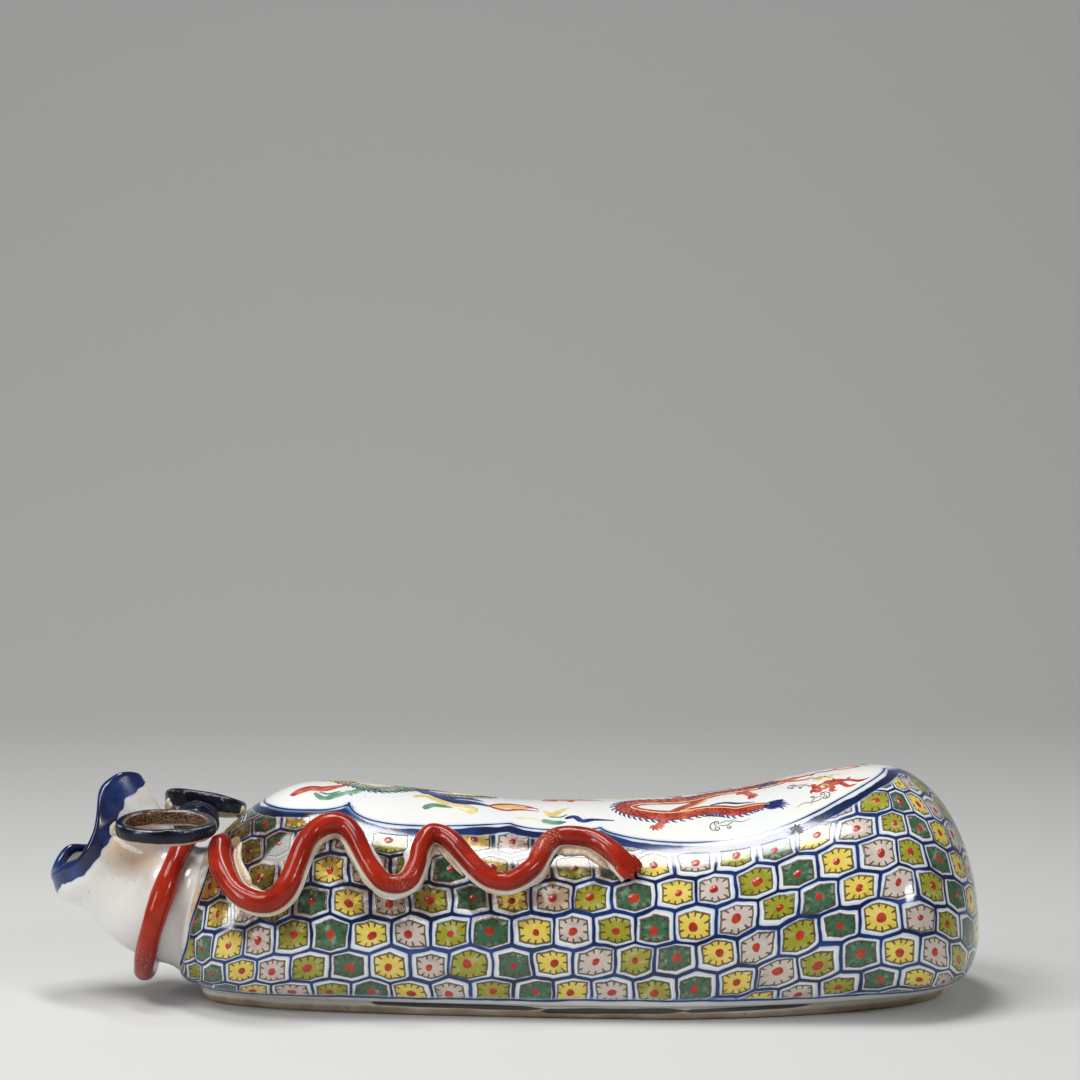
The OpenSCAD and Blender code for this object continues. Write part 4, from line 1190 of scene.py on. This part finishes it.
# The cord, its bow and its tails: rolled coils of clay pressed on while soft.
# One tree of nodes sweeps every coil along its path, from a profile that may spread into a skirt of slip.
coil_tree, takes, gives = new_group(
    "clay_coil", {"Path": "Geometry", "Profile": "Object", "Glaze": "Material"},
    {"Coil": "Geometry"}, "Geometry")
beside_path, outwards = across(coil_tree)
where = vector_sum("ADD", beside_path, scaled(named_input(coil_tree, "out", "FLOAT_VECTOR"), outwards))
finish_tree(coil_tree, takes["Path"], takes["Profile"], where, takes["Glaze"], gives["Coil"])

profile_turn = np.linspace(0, 2 * np.pi, 28, endpoint=False)
round_profile = profile_wire("round_profile", np.stack([np.sin(profile_turn), np.cos(profile_turn)], -1))


def coil(name, rows, half_out, half_side, profile, closed, material, node=None):
    """Clay coils along rows of places and outward directions, in place of a solid where they have one."""
    counts, frames = [], []
    for centre, out in rows:
        way = np.roll(centre, -1, 0) - np.roll(centre, 1, 0) if closed else np.gradient(centre, axis=0)
        side = unit(np.cross(unit(way), out))
        frames.append((centre * MM, unit(np.cross(side, unit(way))), side))
        counts.append(len(centre))
    centres, outs, sides = [np.concatenate(parts) for parts in zip(*frames)]
    piece = wire(name, counts, closed, {"centre": centres, "out": outs, "side": sides},
                 {"half_out": np.broadcast_to(half_out, len(centres)) * MM,
                  "half_side": np.broadcast_to(half_side, len(centres)) * MM})
    fix_on(grow(piece, coil_tree, Profile=profile, Glaze=material), node)


# Iron-red enamel, deep where it lies thick, orange on the crests, and rubbed to pale specks by handling.
red_deep, red_orange, rubbed_pale = (0.20, 0.008, 0.0025, 1), (0.36, 0.021, 0.005, 1), (0.66, 0.42, 0.33, 1)
slip_cream, slip_white = (0.66, 0.57, 0.44, 1), (0.76, 0.75, 0.71, 1)
iron_red, place, shader = new_material("iron_red")
depth = grain(place, 70, 4, 0.6)
worn = grain(place, 26, 3, 0.6)
rub = fade(worn, 0.57, 0.72) * fade(grain(place, 1500), 0.5, 0.64)
colour = mix(rub * 0.45, mix(fade(depth, 0.3, 0.7), red_deep, red_orange), rubbed_pale)
slip = fade(named_value(shader, "skirt") + (depth * 0.5 - 0.25), 0.35, 0.6)
colour = mix(slip, colour, mix(fade(worn, 0.4, 0.62), slip_cream, slip_white))
dress(shader, colour, rub * 0.4 + 0.17, grain(place, 95) + rub * -0.2, 0.5)
gloss(shader, coat=0.1, level=0.25)

cord_d, cord_s, cord_skew, lay = 9.5, 13, 3.5, 0.2
knot_low, knot_high = corners("bow_knot")
knot_d = knot_high[1] - knot_low[1]


def cord_at(psi, t):
    """A place on the path of the cord round the neck."""
    return tube_at(cord_s + cord_skew * np.sin(psi), psi, t)


low_psi, high_psi = 0.0, quarter
for _ in range(30):
    middle_psi = (low_psi + high_psi) / 2
    if abs(cord_at(middle_psi, -cord_d / 2 - lay)[1]) > knot_d / 2:
        low_psi = middle_psi
    else:
        high_psi = middle_psi
cord_psi = np.linspace(low_psi, -np.pi - low_psi, 121)
cord_middle = cord_at(cord_psi, -cord_d / 2 - lay)
cord_half = cord_d / 2 * (1 + 0.05 * np.sin(3 * cord_psi + 1) + 0.04 * np.sin(7 * cord_psi))
coil("neck_cord_enamelled", [(cord_middle, cord_at(cord_psi, -cord_d) - cord_middle)], cord_half, cord_half,
     round_profile, False, iron_red, "neck_cord")

# The knot and the two loops of the bow: dark cobalt glaze, near black where it is thick.
# The inner faces are mottled brown and gold, pale bare clay shows along the lower edges, and a painted
# highlight runs as a pale line along the loops' upper edges.
blue_black, blue_dark, painted_highlight_pale = (0.0015, 0.0018, 0.005, 1), (0.004, 0.007, 0.030, 1), (0.36, 0.37, 0.42, 1)
mottle_brown, mottle_gold, bare_tan = (0.012, 0.007, 0.005, 1), (0.22, 0.11, 0.045, 1), (0.50, 0.37, 0.26, 1)
dark_cobalt, place, shader = new_material("dark_cobalt")
depth = grain(place, 110, 4, 0.6)
mottle = grain(place, 1300, 4, 0.7)
around = shader.id_data.nodes.new("ShaderNodeAttribute")
around.attribute_name = "around"
around_x, around_y, _ = split(Value(around.outputs["Vector"]))
inner_face = fade(around_y * -1.0 + (depth * 0.8 - 0.4), 0.25, 0.55)
lower_edge = fade(around_x + (depth * 0.3 - 0.15), 0.62, 0.76)
# A pale line along the top edge of each strap, broken in places: a painted highlight.
upper_edge_highlight = (1.0 - fade(abs(around_x + 0.8), 0.03, 0.12)) * fade(depth, 0.4, 0.65)
colour = mix(fade(depth, 0.35, 0.7), blue_black, blue_dark)
colour = mix(inner_face, colour, mix(fade(mottle, 0.45, 0.6), mottle_brown, mottle_gold))
colour = mix(upper_edge_highlight, mix(lower_edge, colour, bare_tan), painted_highlight_pale)
dress(shader, colour, inner_face * 0.2 + 0.08, depth + mottle * 0.15, 0.6)
gloss(shader, level=0.3, coat_roughness=0.03)

strap_turn = np.linspace(0, 2 * np.pi, 36, endpoint=False)
strap_points = np.stack([np.sin(strap_turn), np.cos(strap_turn)], -1)
strap_points = np.sign(strap_points) * np.abs(strap_points) ** (0.72, 0.62)
strap_profile = profile_wire("strap_profile", strap_points)
strap_t = 4.6
loop_d, loop_press = 9, 1.5
knot_middle = (knot_low + knot_high) / 2
loop_turn = np.linspace(0, 2 * np.pi, 96, endpoint=False)


def bow_loop(node, side, length, depth, strap_h, middle_x, far_z, droop, fall):
    """One loop of the bow: a closed coil, flat where it meets the knot."""
    half_l, half_w = (length - loop_d) / 2, (depth - loop_d) / 2
    far = knot_d / 2
    dx = half_l * np.sin(loop_turn)
    y = np.maximum(far + loop_d / 2 * 0.95, far + depth / 2 - loop_press + half_w * np.cos(loop_turn))
    z = far_z - droop * (y - far) / depth - fall * dx / length
    path = np.stack([middle_x + dx, side * y, z], -1)
    out = unit(np.stack([np.sin(loop_turn), side * np.cos(loop_turn), 0 * z], -1))
    wobble = 1 + 0.05 * np.sin(2 * loop_turn + side) + 0.03 * np.sin(5 * loop_turn)
    path += out * (loop_d - strap_t) / 2
    height = strap_h / 2 * wobble * (0.72 + 0.28 * np.abs(np.cos(loop_turn)))
    coil(node + "_glazed", [(path[::-side], out[::-side])], strap_t / 2 * wobble[::-side], height[::-side],
         strap_profile, True, dark_cobalt, node)


bow_loop("front_bow_loop", -1, length=43, depth=40, strap_h=7.4, middle_x=knot_middle[0] - 10.5,
         far_z=knot_low[2] + 12.8, droop=4.5, fall=0)
bow_loop("rear_bow_loop", 1, length=36, depth=34, strap_h=9, middle_x=knot_middle[0] + 2,
         far_z=knot_low[2] + 16, droop=8, fall=7)

knot_turn = np.linspace(0, 2 * np.pi, 64, endpoint=False)
knot_rows = np.linspace(-1, 1, 33)[:, None]
knot_half = (knot_high - knot_low) / 2
knot_belly = (1 - np.abs(knot_rows) ** 3.2) ** (1 / 2.6)
groove = 1 - 0.07 * np.cos(3 * np.pi * knot_rows) ** 8 - 0.03 * np.sin(5 * knot_turn + 4 * knot_rows)
knot_points = np.stack([knot_middle[0] + knot_half[0] * knot_belly * np.cos(knot_turn) * groove,
                        np.repeat(knot_middle[1] + knot_half[1] * knot_rows, len(knot_turn), 1),
                        knot_middle[2] + knot_half[2] * knot_belly * np.sin(knot_turn) * groove], -1)
knot_faces = ring_faces(len(knot_rows), len(knot_turn))
knot = mesh_piece("bow_knot_glazed", knot_points.reshape(-1, 3), knot_faces, dark_cobalt)
fix_on(knot, "bow_knot")

# The two tails of the cord, laid in waves over the walls and bedded in slip.
# Each is round at its start and pressed out flat at its end, where the coil is cut ragged like a frayed cord.
skirt_curve = through([(0.90, -0.44), (0.92, -0.74), (1.02, -0.97), (1.19, -1.08)], 3)
crown_turn = np.radians(np.linspace(-26, 206, 24))
skirt_profile = np.concatenate([np.stack([np.cos(crown_turn), np.sin(crown_turn)], -1), skirt_curve * (-1, 1),
                                [(0, -1.15)], skirt_curve[::-1]])
skirt_share = np.clip((-0.45 - skirt_profile[:, 1]) / 0.5, 0, 1)
tail_profile = profile_wire("tail_profile", skirt_profile, {"skirt": skirt_share})
press_l, strand_n, strand_r, strand_root = 16, 14, 1.15, 6
# Each strand of the frayed end: its share of the half width, and how far it sticks out.
strand_ends = ((-0.8, 1.0), (-0.42, 2.6), (0, 1.4), (0.4, 3.2), (0.78, 0.8))


def cord_tail(node, wall):
    """One tail of the cord on its wall."""
    foot_points, out = [part[:-3] for part in tails[wall]]
    length = lengths_along(foot_points, 0)
    girth = np.interp(length / length[-1], (0, 0.4), (tail_start_d, tail_d)) / 2
    start = np.sqrt(np.clip(1 - (1 - np.minimum(1, length / girth)) ** 2, 0.02, 1))
    press = np.clip(1 - (length[-1] - length) / press_l, 0, 1) ** 1.5
    wobble = 1 + 0.03 * np.sin(length / 6.5) + 0.02 * np.sin(length / 2.7 + 1)
    half_out = girth * start * wobble * (1 - 0.34 * press)
    half_side = girth * start * wobble * (1 + 0.26 * press)
    centre = foot_points + (half_out + lay)[:, None] * out
    name = node + "_enamelled"
    coil(name, [(centre, out)], half_out, half_side, tail_profile, False, iron_red, node)
    way = unit(centre[-1] - centre[-4])
    side = unit(np.cross(way, out[-1]))
    strands = []
    for share, reach in strand_ends:
        step = np.linspace(-strand_root, reach, strand_n)[:, None]
        crown_z = half_out[-1] * np.sqrt(1 - share ** 2) - strand_r - 0.3 * np.maximum(0, step) + 0.15
        row = centre[-1] + side * half_side[-1] * share + way * step + out[-1] * crown_z
        strands.append((row, np.repeat(out[-1:], strand_n, 0)))
    strand_half = strand_r * np.tile(np.sqrt(1 - np.linspace(-0.9, 0.97, strand_n) ** 4), len(strands))
    coil(name + "_fray", strands, strand_half, 1.35 * strand_half, round_profile, False, iron_red)


cord_tail("front_cord_tail", "front")
cord_tail("rear_cord_tail", "rear")

# Slip left where coils were luted on: ridges beside the bends and lumps where the loops touch the mouth.
# Cream clay under thin glaze, scorched pink and grey by the kiln.
cream, scorched_pink, grit_grey = (0.66, 0.56, 0.41, 1), (0.50, 0.36, 0.25, 1), (0.10, 0.09, 0.08, 1)
bare_slip, place, shader = new_material("bare_slip")
cloudy = grain(place, 160, 4, 0.65)
grit = grain(place, 620, 3, 0.6)
colour = mix(fade(grit, 0.60, 0.70), mix(fade(cloudy, 0.36, 0.64), cream, scorched_pink), grit_grey)
dress(shader, colour, cloudy * 0.4 + 0.15, cloudy + grit * 0.4, 0.8)
gloss(shader)


def slip_ridge(name, first, last, aside, half):
    """A ridge of slip beside the front tail between two points of its route, some way to one side."""
    foot_points, out = [part[first * route_steps:last * route_steps] for part in tails["front"]]
    side = unit(np.cross(np.gradient(foot_points, axis=0), out))
    t = np.linspace(0, 1, len(foot_points))
    swell = np.sqrt(np.clip(1 - (2 * t - 1) ** 2, 0.01, 1)) * (1 + 0.2 * np.sin(9 * t))
    row = foot_points + side * (aside + 0.5 * np.sin(7 * t))[:, None]
    coil(name, [(row, out)], half * 0.55 * swell, half * swell, round_profile, False, bare_slip)


slip_ridge("start_slip", first=0, last=4, aside=-5.8, half=2.0)
slip_ridge("second_bend_slip", first=21, last=25, aside=5.0, half=1.6)
slip_ridge("last_bend_slip", first=31, last=36, aside=5.4, half=2.4)


def lump(name, middle, radii, seed):
    """A small uneven lump of slip."""
    rise = np.linspace(0, np.pi, 15)[:, None]
    spin = np.linspace(0, 2 * np.pi, 26, endpoint=False)
    swell = 1 + 0.14 * np.sin(3 * spin + seed) * np.sin(2 * rise)
    swell = swell + 0.10 * np.sin(5 * spin + 2 * seed + 3 * rise) * np.sin(rise)
    ball = swell[..., None] * np.stack([np.sin(rise) * np.cos(spin), np.sin(rise) * np.sin(spin),
                                        np.cos(rise) + 0 * spin], -1) * radii + middle
    faces = ring_faces(len(rise), len(spin))
    fix_on(mesh_piece(name, ball.reshape(-1, 3), faces, bare_slip))


lump("front_loop_slip", (-195, -27, 77.5), (2.8, 3.6, 3.0), seed=1)
lump("rear_loop_slip", (-175.5, 19, 81), (2.8, 3.6, 3.2), seed=2)
lump("rear_loop_slip_end", (-146, 22, 77.5), (3.0, 4.0, 3.0), seed=4)

for helper in (stroke_profile, round_profile, strap_profile, tail_profile):
    bpy.data.objects.remove(helper)

# The studio: a plain pale sweep of paper under soft lamps, with the camera in front of the long side.
paper_near, paper_far, paper_back, paper_high, paper_half_w = -4000, 900, 1800, 3500, 5000
bend_r = paper_back - paper_far
paper_grey, sky_strength = (0.62, 0.62, 0.61, 1), 0.2
paper, _, shader = new_material("paper")
shader.inputs["Base Color"].default_value = paper_grey
shader.inputs["Roughness"].default_value = 0.9
bend_turns = np.linspace(0, quarter, 24)[1:]
bend = [(paper_far + bend_r * np.sin(a), bend_r - bend_r * np.cos(a)) for a in bend_turns]
sweep = [(paper_near, 0), (paper_far, 0)] + bend + [(paper_back, paper_high)]
floor_points = np.array([(x, y, z) for y, z in sweep for x in (-paper_half_w, paper_half_w)])
floor_faces = [[2 * k, 2 * k + 1, 2 * k + 3, 2 * k + 2] for k in range(len(sweep) - 1)]
mesh_piece("floor", floor_points, floor_faces, paper)

world = bpy.data.worlds.new("studio")
bpy.context.scene.world = world
world.use_nodes = True
world.node_tree.nodes["Background"].inputs["Color"].default_value = (1, 1, 1, 1)
world.node_tree.nodes["Background"].inputs["Strength"].default_value = sky_strength


def lamp(name, place, target, size, watts):
    """A soft square lamp aimed at a place."""
    light = bpy.data.lights.new(name, "AREA")
    light.shape = "RECTANGLE"
    light.size, light.size_y = size
    light.energy = watts
    thing = bpy.data.objects.new(name, light)
    thing.location = place
    thing.rotation_euler = (Vector(target) - Vector(place)).to_track_quat("-Z", "Y").to_euler()
    bpy.context.scene.collection.objects.link(thing)


# The lamps: place, aim and size in metres, and power in watts.
lamp("key_lamp", (-0.6, -0.45, 1.25), (0, 0, 0.05), (0.7, 0.5), 9)
lamp("top_lamp", (-0.1, -0.05, 1.15), (0, 0, 0.05), (0.55, 0.2), 6)
lamp("left_lamp", (-1.3, -0.8, 0.55), (-0.1, 0, 0.05), (0.3, 0.7), 7)
lamp("right_lamp", (1.1, -1.1, 0.75), (0.1, 0, 0.05), (0.35, 0.25), 6)

# The camera as it stood for the photograph, whose frame is square: its focal length in pixels, and its tilt.
picture_w, focal_w, tilt_down, turn_right = 1080, 3910, 4.84, 0.34
camera = bpy.data.objects.new("camera", bpy.data.cameras.new("camera"))
camera.data.sensor_width = 36
camera.data.lens = camera.data.sensor_width * focal_w / picture_w
camera.data.clip_end = 20
camera.location = (-0.0245, -1.6742, 0.3402)
camera.rotation_euler = (np.radians(90 - tilt_down), 0, np.radians(-turn_right))
bpy.context.scene.collection.objects.link(camera)
bpy.context.scene.camera = camera
bpy.context.scene.view_settings.view_transform = "Standard"
